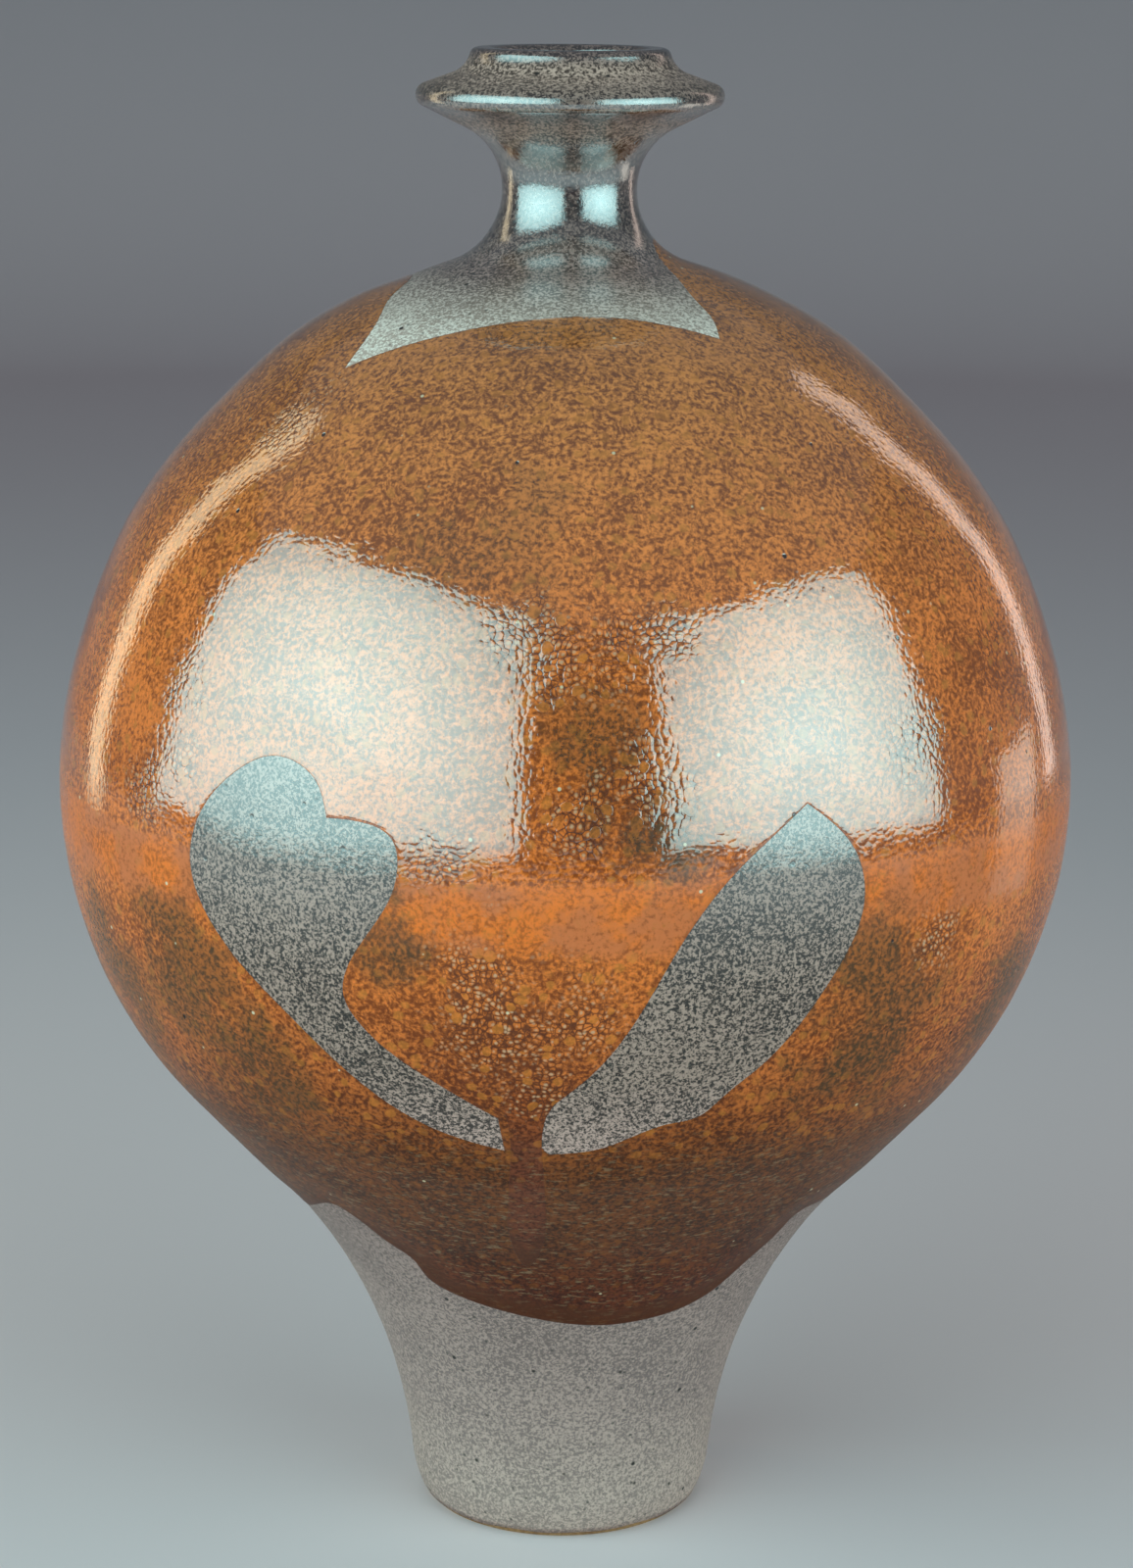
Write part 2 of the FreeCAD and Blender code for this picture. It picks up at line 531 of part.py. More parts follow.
def shaped_tool(label, shape):
    """A cutting or trimming shape, kept in the document beside the piece that it shapes."""
    tool = doc.addObject("Part::Feature", label)
    tool.Shape = shape
    tool.Placement = FreeCAD.Placement()
    return tool


def make_amber_coat():
    """The amber coat over the grey one, with its windows, its neck patch and its wavy edge cut out."""
    band = band_body("amber_band", "amber_low", "shoulder_high", cell("grey_glaze"),
                     f"({cell('grey_glaze')} + {cell('amber_glaze')})")
    coat = doc.addObject("Part::Cut", "amber_glaze_coat")
    coat.Base = band
    coat.Tool = shaped_tool("amber_openings", amber_openings())
    return coat


def make_amber_run():
    """The run of glaze that spilled from the front pour between the two windows."""
    surface = f"({cell('grey_glaze')} + {cell('amber_glaze')})"
    band = band_body("run_band", "run_low", "belly_joint_low", surface,
                     f"({surface} + {cell('run_thickness')})")
    width, length = value_of(cell("run_width")), value_of(cell("run_length"))
    figure = front_figure(RUN_SHARES, value_of(cell("run_middle")), value_of(cell("run_foot")), width, length)
    beyond = value_of(cell("belly_radius")) + value_of(cell("cut_overrun"))
    run = doc.addObject("Part::Common", "amber_glaze_run")
    run.Base = band
    run.Tool = shaped_tool("run_outline", figure.extrude(FreeCAD.Vector(0, -beyond, 0)))
    return run


def make_pieces():
    """Build every piece of the jar."""
    wall, groove = cell("wall"), f"({cell('wall')} - {cell('coil_depth')})"
    grey = cell("grey_glaze")
    return [
        make_foot_stem(),
        make_lower_bowl(),
        make_upper_bowl(),
        make_neck_rim(),
        make_slip("foot_joint_slip", "foot_joint", groove),
        make_slip("belly_joint_slip", "belly_joint", groove),
        make_slip("neck_joint_slip", "neck_joint", wall),
        make_seam_coil("foot_seam_coil", "foot_joint", "foot_coil", FLARE),
        make_seam_coil("belly_seam_coil", "belly_joint", "belly_coil", BELLY),
        band_body("grey_glaze_coat", "glaze_foot", "throat", "0", grey),
        make_amber_coat(),
        make_amber_run(),
        make_liner_glaze(),
    ]


def check_and_export(pieces):
    """Stop on anything that failed to build, then write one file for each piece."""
    doc.recompute()
    for item in doc.Objects:
        if "Invalid" in item.State or "Error" in item.State:
            raise RuntimeError(f"{item.Label} did not build: {item.State}")
    for piece in pieces:
        if piece.Shape.isNull() or not piece.Shape.isValid() or not piece.Shape.Solids:
            raise RuntimeError(f"{piece.Label} has no valid solid")
    os.makedirs("parts", exist_ok=True)
    for piece in pieces:
        piece.Shape.exportStep(f"parts/{piece.Label}.step")
        box = piece.Shape.optimalBoundingBox()
        print(f"{piece.Label:18s} solids {len(piece.Shape.Solids)} volume {piece.Shape.Volume:10.0f}"
              f"  radius {box.XMax:6.2f}  height {box.ZMin:7.2f} to {box.ZMax:7.2f}")


fill_sheet()
check_and_export(make_pieces())
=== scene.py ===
"""The stoneware bottle jar, dressed: bare clay, grey ash glaze, amber glaze, a soft studio and the camera.

Lengths are in millimetres until a mesh or a lamp is made, and angles are in radians unless a name says
degrees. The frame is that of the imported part: +Z is up, the jar's front faces -Y, and the origin lies under
the middle of the foot. An angle round the jar is 0 at the front and grows towards +X.
"""

import logging
import math
from dataclasses import dataclass, field
from enum import Enum
from typing import NamedTuple

import bpy
import numpy as np
from mathutils import Matrix, Vector
from mathutils.geometry import delaunay_2d_cdt
from mathutils.kdtree import KDTree


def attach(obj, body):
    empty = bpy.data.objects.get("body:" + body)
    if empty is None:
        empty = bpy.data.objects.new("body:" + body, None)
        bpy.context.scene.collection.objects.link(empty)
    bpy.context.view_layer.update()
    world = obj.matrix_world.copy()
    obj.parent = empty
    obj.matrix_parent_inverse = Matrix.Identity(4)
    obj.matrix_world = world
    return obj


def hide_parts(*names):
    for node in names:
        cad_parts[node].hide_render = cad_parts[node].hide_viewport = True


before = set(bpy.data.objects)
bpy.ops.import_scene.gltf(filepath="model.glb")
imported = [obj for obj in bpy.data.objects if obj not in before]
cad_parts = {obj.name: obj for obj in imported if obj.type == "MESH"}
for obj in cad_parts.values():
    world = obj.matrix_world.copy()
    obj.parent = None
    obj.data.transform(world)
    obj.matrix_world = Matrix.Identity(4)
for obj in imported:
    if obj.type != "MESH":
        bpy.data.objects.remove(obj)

MM = 0.001
MM_PER_METRE = 1000.0
FULL_TURN = 2 * math.pi
JAR_HEIGHT = 305.0
# The most that an arc turns from one of its places to the next.
STEP_DEGREES = 8.0
# Keeps a division whole where a length is nothing.
NEVER_ZERO = 1e-12
# Places closer than this on the flat plane count as one.
MERGE_DISTANCE = 1e-8
RNG = np.random.default_rng(20)
log = logging.getLogger("jar")

Node = bpy.types.ShaderNode
# An outline on the wall, as rows of angle and length.
Loop = np.ndarray


class Slot(Enum):
    """The record's material slots of the coats that are made here."""

    GREY = "grey_ash_glaze"
    AMBER = "amber_glaze"


class Tone(Enum):
    """How a texture's number is bent into a mask."""

    SMOOTH = "SMOOTHSTEP"
    STRAIGHT = "LINEAR"


def linear(hex_colour: str) -> tuple[float, float, float, float]:
    """Turn an sRGB hex colour into linear light.

    Args:
        hex_colour: six hex digits, red first.

    Returns:
        Red, green, blue and an alpha of one.
    """
    shares = [int(hex_colour[i:i + 2], 16) / 255 for i in (0, 2, 4)]
    light = [c / 12.92 if c <= 0.04045 else ((c + 0.055) / 1.055) ** 2.4 for c in shares]
    return (*light, 1.0)


def plug(tree: bpy.types.NodeTree, node: Node, socket: str | int, source: object) -> None:
    """Feed one socket of a node.

    Args:
        tree: the node tree.
        node: the node.
        socket: its socket's name or number.
        source: a number, an sRGB hex colour, a node, or a node and one of its outputs.
    """
    if isinstance(source, tuple) and isinstance(source[0], Node):
        tree.links.new(source[0].outputs[source[1]], node.inputs[socket])
    elif isinstance(source, Node):
        live = next(output for output in source.outputs if output.enabled)
        tree.links.new(live, node.inputs[socket])
    else:
        node.inputs[socket].default_value = linear(source) if isinstance(source, str) else source


def add_node(tree: bpy.types.NodeTree, kind: str, feeds: dict | None = None, stops: tuple = (),
             **settings: object) -> Node:
    """Add one shader node with its settings and links.

    Args:
        tree: the node tree.
        kind: the node's type, without the leading ShaderNode.
        feeds: what goes into each socket, as plug takes it.
        stops: places and hex colours or numbers of a colour ramp.
        settings: plain properties of the node.

    Returns:
        The new node.
    """
    node = tree.nodes.new("ShaderNode" + kind)
    for name, value in settings.items():
        setattr(node, name, value)
    for socket, source in (feeds or {}).items():
        plug(tree, node, socket, source)
    elements = node.color_ramp.elements if stops else None
    for index, (place, shade) in enumerate(stops):
        element = elements[index] if index < len(elements) else elements.new(place)
        element.position = place
        element.color = linear(shade) if isinstance(shade, str) else (shade, shade, shade, 1.0)
    return node


def around(reach: np.ndarray, angle: np.ndarray, height: np.ndarray) -> np.ndarray:
    """Places at distances from the axis, angles round it and heights, as rows of x, y and z."""
    return np.stack([reach * np.sin(angle), -reach * np.cos(angle), height], axis=1)


def band(low: int, high: int, segments: int) -> list[tuple[int, int, int, int]]:
    """Faces between two rings, whose corners are numbered from low and from high."""
    steps = [(k, (k + 1) % segments) for k in range(segments)]
    return [(low + here, low + there, high + there, high + here) for here, there in steps]


@dataclass(frozen=True)
class Bend:
    """One arc of the wall's outline. Its outward normal turns from one lean to another, in degrees."""

    centre_r: float
    centre_z: float
    radius: float
    lean_from: float
    lean_to: float
    hollow: bool = False

    def trace(self, lift: float, spacing: float) -> tuple[np.ndarray, np.ndarray]:
        """Places and outward normals along the arc.

        Args:
            lift: how far the surface lies proud of the clay.
            spacing: wanted distance between places.

        Returns:
            Places and normals as rows of radius and height.
        """
        reach = (-self.radius if self.hollow else self.radius) + lift
        turned = abs(self.lean_to - self.lean_from)
        steps = math.ceil(max(math.radians(turned) * abs(reach) / spacing, turned / STEP_DEGREES))
        lean = np.radians(np.linspace(self.lean_from, self.lean_to, steps + 1))
        normals = np.stack([np.cos(lean), np.sin(lean)], axis=1)
        return np.array([self.centre_r, self.centre_z]) + reach * normals, normals


@dataclass(frozen=True)
class JarWall:
    """The thrown wall: a chain of tangent arcs, with the sizes of the clay under its glazes."""

    belly_radius: float = 102.55
    belly_height: float = 157.75
    belly_arc: float = 92.7
    side_degrees: float = 42.1
    side_length: float = 26.3
    foot_flare: float = 116.6
    shoulder_degrees: float = 12.0
    shoulder_arc: float = 115.4
    neck_radius: float = 13.0
    neck_flare: float = 15.6
    flange_flare: float = 13.8
    flange_degrees: float = 64.0
    flange_radius: float = 30.2
    flange_edge: float = 1.9
    flange_top_degrees: float = 20.0
    lip_rise: float = 8.8
    lip_reach: float = 19.5
    lip_edge: float = 1.2
    lip_degrees: float = 15.0
    mouth_radius: float = 15.0
    wall: float = 4.8
    foot_height: float = 9.0
    foot_edge: float = 22.0
    bare_foot: float = 1.3

    def bends(self, lift: float) -> list[Bend]:
        """The arcs from the foot's glaze line over the lip and down to the throat.

        Args:
            lift: how far the surface lies proud of the clay, which moves the foot of the mouth.

        Returns:
            The arcs in order.
        """
        side = math.radians(self.side_degrees)
        shoulder = math.radians(self.shoulder_degrees)
        slope = math.radians(self.flange_degrees)
        top = math.radians(self.flange_top_degrees)
        lip = math.radians(self.lip_degrees)
        belly_r = self.belly_radius - self.belly_arc
        step = self.shoulder_arc - self.belly_arc
        shoulder_r = belly_r - step * math.cos(shoulder)
        shoulder_z = self.belly_height - step * math.sin(shoulder)
        span = self.belly_arc + self.foot_flare
        flare_r = belly_r + span * math.cos(side) - self.side_length * math.sin(side)
        flare_z = self.belly_height - span * math.sin(side) - self.side_length * math.cos(side)
        droop = math.asin((self.foot_height - flare_z) / self.foot_flare)
        foot_r = flare_r - (self.foot_flare + self.foot_edge) * math.cos(droop)
        foot_z = flare_z + (self.foot_flare + self.foot_edge) * math.sin(droop)
        glaze_foot = math.asin((foot_z - self.bare_foot) / self.foot_edge)
        neck_r = self.neck_radius + self.neck_flare
        meet = math.acos((neck_r - shoulder_r) / (self.shoulder_arc + self.neck_flare))
        waist_z = shoulder_z + (self.shoulder_arc + self.neck_flare) * math.sin(meet)
        flange_r = self.neck_radius + self.flange_flare
        edge_r = self.flange_radius - self.flange_edge
        arcs = self.flange_flare + self.flange_edge
        under = (edge_r - flange_r + arcs * math.cos(slope)) / math.sin(slope)
        edge_z = waist_z + arcs * math.sin(slope) + under * math.cos(slope)
        lip_z = edge_z + self.lip_rise - self.lip_edge
        outer_r = self.lip_reach - self.lip_edge
        turn = math.sin(top + lip)
        cove = ((outer_r - edge_r) * math.sin(top) + (lip_z - edge_z) * math.cos(top)
                - self.flange_edge + self.lip_edge * turn) / (1 - turn)
        cove_r = outer_r + (self.lip_edge + cove) * math.cos(lip)
        cove_z = lip_z + (self.lip_edge + cove) * math.sin(lip)
        throat = self.flange_flare + self.wall
        mouth = math.acos(-(flange_r - self.mouth_radius + lift) / (throat + lift))
        down = -math.degrees(droop)
        return [
            Bend(foot_r, foot_z, self.foot_edge, -math.degrees(glaze_foot), down),
            Bend(flare_r, flare_z, self.foot_flare, down, -self.side_degrees, hollow=True),
            Bend(belly_r, self.belly_height, self.belly_arc, -self.side_degrees, self.shoulder_degrees),
            Bend(shoulder_r, shoulder_z, self.shoulder_arc, self.shoulder_degrees, math.degrees(meet)),
            Bend(neck_r, waist_z, self.neck_flare, math.degrees(meet), 0, hollow=True),
            Bend(flange_r, waist_z, self.flange_flare, 0, -self.flange_degrees, hollow=True),
            Bend(edge_r, edge_z, self.flange_edge, -self.flange_degrees, 90 - self.flange_top_degrees),
            Bend(cove_r, cove_z, cove, 90 - self.flange_top_degrees, self.lip_degrees, hollow=True),
            Bend(outer_r, lip_z, self.lip_edge, self.lip_degrees, 90),
            Bend(self.mouth_radius + self.lip_edge, lip_z, self.lip_edge, 90, 180),
            Bend(flange_r, waist_z, throat, math.degrees(mouth), 180),
        ]

    def outline(self, lift: float, spacing: float) -> tuple[np.ndarray, np.ndarray]:
        """The outline from the foot's glaze line to the throat, arcs and the straight runs between them.

        Args:
            lift: how far the surface lies proud of the clay.
            spacing: wanted distance between places.

        Returns:
            Places and outward normals as rows of radius and height.
        """
        places, normals = [], []
        touching = spacing / 100
        for bend in self.bends(lift):
            arc, leans = bend.trace(lift, spacing)
            if places:
                start, gap = places[-1][-1], np.linalg.norm(arc[0] - places[-1][-1])
                shares = np.linspace(0, 1, max(2, math.ceil(gap / spacing) + 1))[1:-1, None]
                if gap > spacing:
                    places.append(start + shares * (arc[0] - start))
                    normals.append(np.repeat(normals[-1][-1:], len(shares), axis=0))
                if gap < touching:
                    arc, leans = arc[1:], leans[1:]
            places.append(arc)
            normals.append(leans)
        return np.concatenate(places), np.concatenate(normals)


@dataclass(frozen=True)
class ThrownSurface:
    """What throwing and drying left on the true curve: slight swells, finger rings and a soft wobble.

    A swell has a height, a depth and a reach. A wave has turns round the jar, a pitch up it, a phase and a
    share of the wobble. Towards the lip all of it calms down to calm_share.
    """

    swells: tuple = ((186.0, -0.14, 11.0), (211.0, 0.3, 7.5), (234.0, -0.34, 6.5), (248.0, 0.3, 5.0),
                     (261.0, -0.4, 5.0))
    ring_spacing: float = 6.4
    ring_depth: float = 0.012
    ring_drift: tuple = (1.4, 61.0)
    wobble: float = 0.05
    waves: tuple = ((2, 83, 0.4, 0.5), (3, 47, 2.1, 0.45), (5, 31, 4.0, 0.35), (7, -19, 1.2, 0.25),
                    (11, 14, 5.1, 0.16), (16, -11, 3.3, 0.1))
    calm_drop: float = 15.0
    calm_span: float = 30.0
    calm_share: float = 0.15

    def rise(self, angle: np.ndarray, height: np.ndarray) -> np.ndarray:
        """How far the surface stands proud of its true curve, in millimetres.

        Args:
            angle: angles round the jar.
            height: heights above the ground.

        Returns:
            One distance in millimetres for each place.
        """
        rise = np.zeros(np.broadcast(angle, height).shape)
        for middle, depth, width in self.swells:
            rise += depth * np.exp(-((height - middle) / width) ** 2)
        reach, pitch = self.ring_drift
        drift = reach * np.sin(angle + height / pitch)
        rise += self.ring_depth * np.sin(FULL_TURN * height / self.ring_spacing + drift)
        for turns, pitch, phase, share in self.waves:
            rise += self.wobble * share * np.sin(turns * angle + FULL_TURN * height / pitch + phase)
        calm = np.clip((JAR_HEIGHT - self.calm_drop - height) / self.calm_span, self.calm_share, 1)
        return (rise - self.wobble) * calm


class WallMap:
    """The outside of the jar unrolled: a place is an angle round it and a length up its wall."""

    def __init__(self, wall: JarWall, thrown: ThrownSurface, spacing: float = 0.25) -> None:
        """Trace the wall once and keep it as tables.

        Args:
            wall: the true outline.
            thrown: what stands proud of it.
            spacing: distance between the tables' places.
        """
        places, normals = wall.outline(0, spacing)
        waist = int(np.argmin(np.where(places[:, 1] > wall.belly_height, places[:, 0], np.inf)))
        self.thrown = thrown
        self.places, self.normals = places[:waist], normals[:waist]
        steps = np.linalg.norm(np.diff(self.places, axis=0), axis=1)
        self.lengths = np.concatenate([[0], np.cumsum(steps)])
        turns = steps / (self.places[1:, 0] + self.places[:-1, 0]) * 2
        self.turns = np.concatenate([[0], np.cumsum(turns)])

    def radius(self, length: np.ndarray) -> np.ndarray:
        """Distance of the clay from the axis."""
        return np.interp(length, self.lengths, self.places[:, 0])

    def place(self, angle: np.ndarray, length: np.ndarray, lift: np.ndarray) -> np.ndarray:
        """Places in space that lie so far proud of the clay.

        Args:
            angle: angles round the jar.
            length: lengths up the wall.
            lift: distances out from the clay.

        Returns:
            One row of x, y and z for each.
        """
        columns = (*self.places.T, *self.normals.T)
        r, z, out, up = (np.interp(length, self.lengths, column) for column in columns)
        lift = lift + self.thrown.rise(angle, z)
        return around(r + out * lift, angle, z + up * lift)

    def at_height(self, angle: float, height: float) -> np.ndarray:
        """The place in space at an angle and a height."""
        length = np.interp([height], self.places[:, 1], self.lengths)
        return self.place(np.array([angle]), length, np.zeros(1))[0]

    def flat(self, angle: np.ndarray, length: np.ndarray) -> np.ndarray:
        """Places on a plane where the wall keeps its shape in the small, with the neck in the middle."""
        reach = np.exp(-np.interp(length, self.lengths, self.turns))
        return np.stack([reach * np.cos(angle), reach * np.sin(angle)], axis=1)

    def unflat(self, places: np.ndarray) -> tuple[np.ndarray, np.ndarray]:
        """Angles and lengths of places on that plane."""
        reach = -np.log(np.hypot(places[:, 0], places[:, 1]))
        return np.arctan2(places[:, 1], places[:, 0]), np.interp(reach, self.turns, self.lengths)

    def from_front(self, across: np.ndarray, height: np.ndarray, lift: float) -> Loop:
        """Where a figure seen from the front falls on the wall.

        Args:
            across: distances sideways from the axis.
            height: heights above the ground.
            lift: how far the figure lies proud of the clay.

        Returns:
            Rows of angle and length.
        """
        length = np.interp(height, self.places[:, 1] + lift * self.normals[:, 1], self.lengths)
        reach = np.interp(length, self.lengths, self.places[:, 0] + lift * self.normals[:, 0])
        return np.stack([np.arcsin(np.clip(across / reach, -1, 1)), length], axis=1)

    def from_above(self, across: np.ndarray, away: np.ndarray, lift: float) -> Loop:
        """Where a figure seen from above falls on the shoulder.

        Args:
            across: distances sideways from the axis.
            away: distances behind the axis.
            lift: how far the figure lies proud of the clay.

        Returns:
            Rows of angle and length.
        """
        upper = self.places[:, 1] > self.places[np.argmax(self.places[:, 0]), 1]
        reach = (self.places[:, 0] + lift * self.normals[:, 0])[upper]
        length = np.interp(-np.hypot(across, away), -reach, self.lengths[upper])
        return np.stack([np.arctan2(across, -away), length], axis=1)


def smooth_run(places: np.ndarray, spacing: float) -> np.ndarray:
    """One smooth curve through the places, bending as little as it can.

    Args:
        places: rows of two coordinates.
        spacing: wanted distance between the curve's points.

    Returns:
        Points along the curve, first and last place included.
    """
    knots = np.concatenate([[0], np.cumsum(np.linalg.norm(np.diff(places, axis=0), axis=1))])
    count, gaps = len(places), np.diff(knots)
    matrix, right = np.eye(count), np.zeros((count, 2))
    for i in range(1, count - 1):
        matrix[i, i - 1:i + 2] = gaps[i - 1], 2 * (gaps[i - 1] + gaps[i]), gaps[i]
        right[i] = 6 * ((places[i + 1] - places[i]) / gaps[i] - (places[i] - places[i - 1]) / gaps[i - 1])
    bend = np.linalg.solve(matrix, right)
    along = np.linspace(0, knots[-1], max(2, math.ceil(knots[-1] / spacing) + 1))
    i = np.clip(np.searchsorted(knots, along, side="right") - 1, 0, count - 2)
    gap, left, rest = gaps[i][:, None], (along - knots[i])[:, None], (knots[i + 1] - along)[:, None]
    curve = (bend[i] * rest ** 3 + bend[i + 1] * left ** 3) / (6 * gap)
    curve += (places[i] / gap - bend[i] * gap / 6) * rest
    return curve + (places[i + 1] / gap - bend[i + 1] * gap / 6) * left


@dataclass(frozen=True)
class GlazeFigure:
    """Where the amber was poured. Outlines are shares of each figure's sizes, one run for each side."""

    lift: float = 1.2
    spacing: float = 0.45
    left_near: float = -10.9
    left_width: float = -59.6
    left_foot: float = 104.6
    left_height: float = 76.2
    right_near: float = -3.7
    right_width: float = 59.4
    right_foot: float = 104.0
    right_height: float = 70.1
    edge_low: float = 53.2
    edge_wave: float = 25.5
    side_rise: float = 12.8
    side_margin: float = 0.01
    least_step: float = 1e-4
    patch_reach: float = 40.0
    run_middle: float = -6.75
    run_width: float = 8.0
    run_foot: float = 71.0
    run_length: float = 52.0
    amber_thickness: float = 0.7
    run_thickness: float = 0.4
    run_spacing: float = 0.9
    left_shares: tuple = (
        ((0.0, 0.0), (0.23, 0.06), (0.46, 0.18), (0.69, 0.35), (0.92, 0.54), (1.0, 0.7), (0.95, 0.85),
         (0.84, 0.95), (0.7, 1.0), (0.59, 0.96), (0.55, 0.87)),
        ((0.55, 0.87), (0.45, 0.87), (0.35, 0.84), (0.33, 0.75), (0.45, 0.56), (0.5, 0.42), (0.45, 0.35),
         (0.24, 0.215), (0.02, 0.105)),
        ((0.02, 0.105), (0.0, 0.0)),
    )
    right_shares: tuple = (
        ((0.02, 0.0), (0.18, 0.02), (0.4, 0.1), (0.485, 0.115), (0.565, 0.175), (0.7, 0.28), (0.83, 0.415),
         (0.92, 0.535), (1.0, 0.71), (0.96, 0.87), (0.81, 1.0)),
        ((0.81, 1.0), (0.755, 0.96), (0.605, 0.85), (0.435, 0.665), (0.28, 0.425), (0.145, 0.265),
         (0.035, 0.175)),
        ((0.035, 0.175), (0.0, 0.02), (0.02, 0.0)),
    )
    edge_shares: tuple = (
        (-1.0, 0.5), (-0.985, 0.64), (-0.95, 0.76), (-0.85, 1.0), (-0.74, 0.875), (-0.64, 0.69),
        (-0.55, 0.55), (-0.5, 0.38), (-0.4, 0.25), (-0.28, 0.17), (-0.1, 0.08), (0.18, 0.0), (0.31, 0.015),
        (0.47, 0.08), (0.6, 0.23), (0.7, 0.43), (0.81, 0.66), (0.905, 0.885), (0.97, 0.855), (1.015, 0.68),
        (1.0, 0.5),
    )
    patch_shares: tuple = (
        ((-1.07, -0.96), (-0.83, -1.0), (-0.43, -1.03), (-0.01, -1.01), (0.36, -0.99), (0.725, -0.97)),
        ((0.725, -0.97), (0.69, -0.79), (0.62, -0.66), (0.55, -0.47), (0.44, -0.2), (0.47, 0.1),
         (0.66, 0.42), (0.9, 0.86)),
        ((0.9, 0.86), (0.5, 0.98), (0.0, 1.0), (-0.5, 0.95), (-0.98, 0.9)),
        ((-0.98, 0.9), (-0.87, 0.5), (-0.8, 0.1), (-0.82, -0.2), (-0.89, -0.4), (-0.93, -0.64),
         (-0.99, -0.82), (-1.07, -0.96)),
    )
    run_shares: tuple = (
        ((-0.62, 0.9), (-0.46, 0.8), (-0.38, 0.7), (-0.4, 0.56), (-0.44, 0.36), (-0.4, 0.15), (0.0, 0.0),
         (0.4, 0.15), (0.45, 0.36), (0.4, 0.56), (0.36, 0.7), (0.44, 0.8), (0.6, 0.88)),
        ((0.6, 0.88), (0.0, 0.96), (-0.62, 0.9)),
    )

    def trace(self, sides: tuple, start: tuple[float, float], size: tuple[float, float]) -> np.ndarray:
        """A closed outline from its sides in shares, without its repeated corners.

        Args:
            sides: places along each side, in shares of the size.
            start: the place where both shares are nothing.
            size: the lengths that a whole share stands for.

        Returns:
            One row of two coordinates for each place.
        """
        runs = [smooth_run(np.array(start) + np.array(side) * np.array(size), self.spacing)[:-1]
                for side in sides]
        return np.concatenate(runs)

    def windows(self, wall_map: WallMap) -> list[Loop]:
        """The two bare windows in front and their likes behind.

        Args:
            wall_map: the wall that they lie on.

        Returns:
            One outline for each, as rows of angle and length.
        """
        loops = []
        for shares, near, foot, width, height in (
                (self.left_shares, self.left_near, self.left_foot, self.left_width, self.left_height),
                (self.right_shares, self.right_near, self.right_foot, self.right_width, self.right_height)):
            outline = self.trace(shares, (near, foot), (width, height))
            front = wall_map.from_front(outline[:, 0], outline[:, 1], self.lift)
            loops += [front, front + np.array([math.pi, 0])]
        return loops

    def lower_edge(self, wall_map: WallMap) -> Loop:
        """The wavy edge that the amber ran down to, right round the jar.

        Args:
            wall_map: the wall that it lies on.

        Returns:
            Rows of angle and length.
        """
        at_side = wall_map.from_front(np.zeros(1), np.array([self.edge_low + self.side_rise]), self.lift)
        reach = float(wall_map.radius(at_side[0, 1])) + self.lift
        places = np.array(self.edge_shares) * (reach, self.edge_wave) + (0, self.edge_low)
        wave = smooth_run(places, self.spacing)
        front = wall_map.from_front(wave[:, 0], wave[:, 1], self.lift)
        ahead = front[1:, 0] > np.maximum.accumulate(front[:-1, 0]) + self.least_step
        front = front[np.concatenate([[True], ahead]) & (front[:, 0] < math.pi / 2 - self.side_margin)]
        front[0] = front[0, 0], at_side[0, 1]
        return np.concatenate([front, front + np.array([math.pi, 0])])

    def patch(self, wall_map: WallMap) -> Loop:
        """The bare patch round the neck, which the four pours left."""
        outline = self.trace(self.patch_shares, (0, 0), (self.patch_reach, self.patch_reach))
        return wall_map.from_above(outline[:, 0], outline[:, 1], self.lift)

    def run(self, wall_map: WallMap) -> Loop:
        """The run of glaze between the two front windows.

        Args:
            wall_map: the wall that it lies on.

        Returns:
            Rows of angle and length.
        """
        start, size = (self.run_middle, self.run_foot), (self.run_width, self.run_length)
        outline = self.trace(self.run_shares, start, size)
        return wall_map.from_front(outline[:, 0], outline[:, 1], self.lift)


def new_mesh_object(name: str, places: np.ndarray, faces: list,
                    marks: dict[str, np.ndarray]) -> bpy.types.Object:
    """Make a smooth-shaded object from places in millimetres.

    Args:
        name: the piece's name.
        places: one row for each corner.
        faces: corner numbers of each face.
        marks: numbers kept at the corners for the finish to read.

    Returns:
        The object, linked to the scene.
    """
    mesh = bpy.data.meshes.new(name)
    mesh.from_pydata((places * MM).tolist(), [], faces)
    mesh.polygons.foreach_set("use_smooth", [True] * len(mesh.polygons))
    for mark, values in marks.items():
        mesh.attributes.new(mark, "FLOAT", "POINT").data.foreach_set("value", values.astype(np.float32))
    mesh.validate()
    mesh.update()
    piece = bpy.data.objects.new(name, mesh)
    bpy.context.scene.collection.objects.link(piece)
    return piece


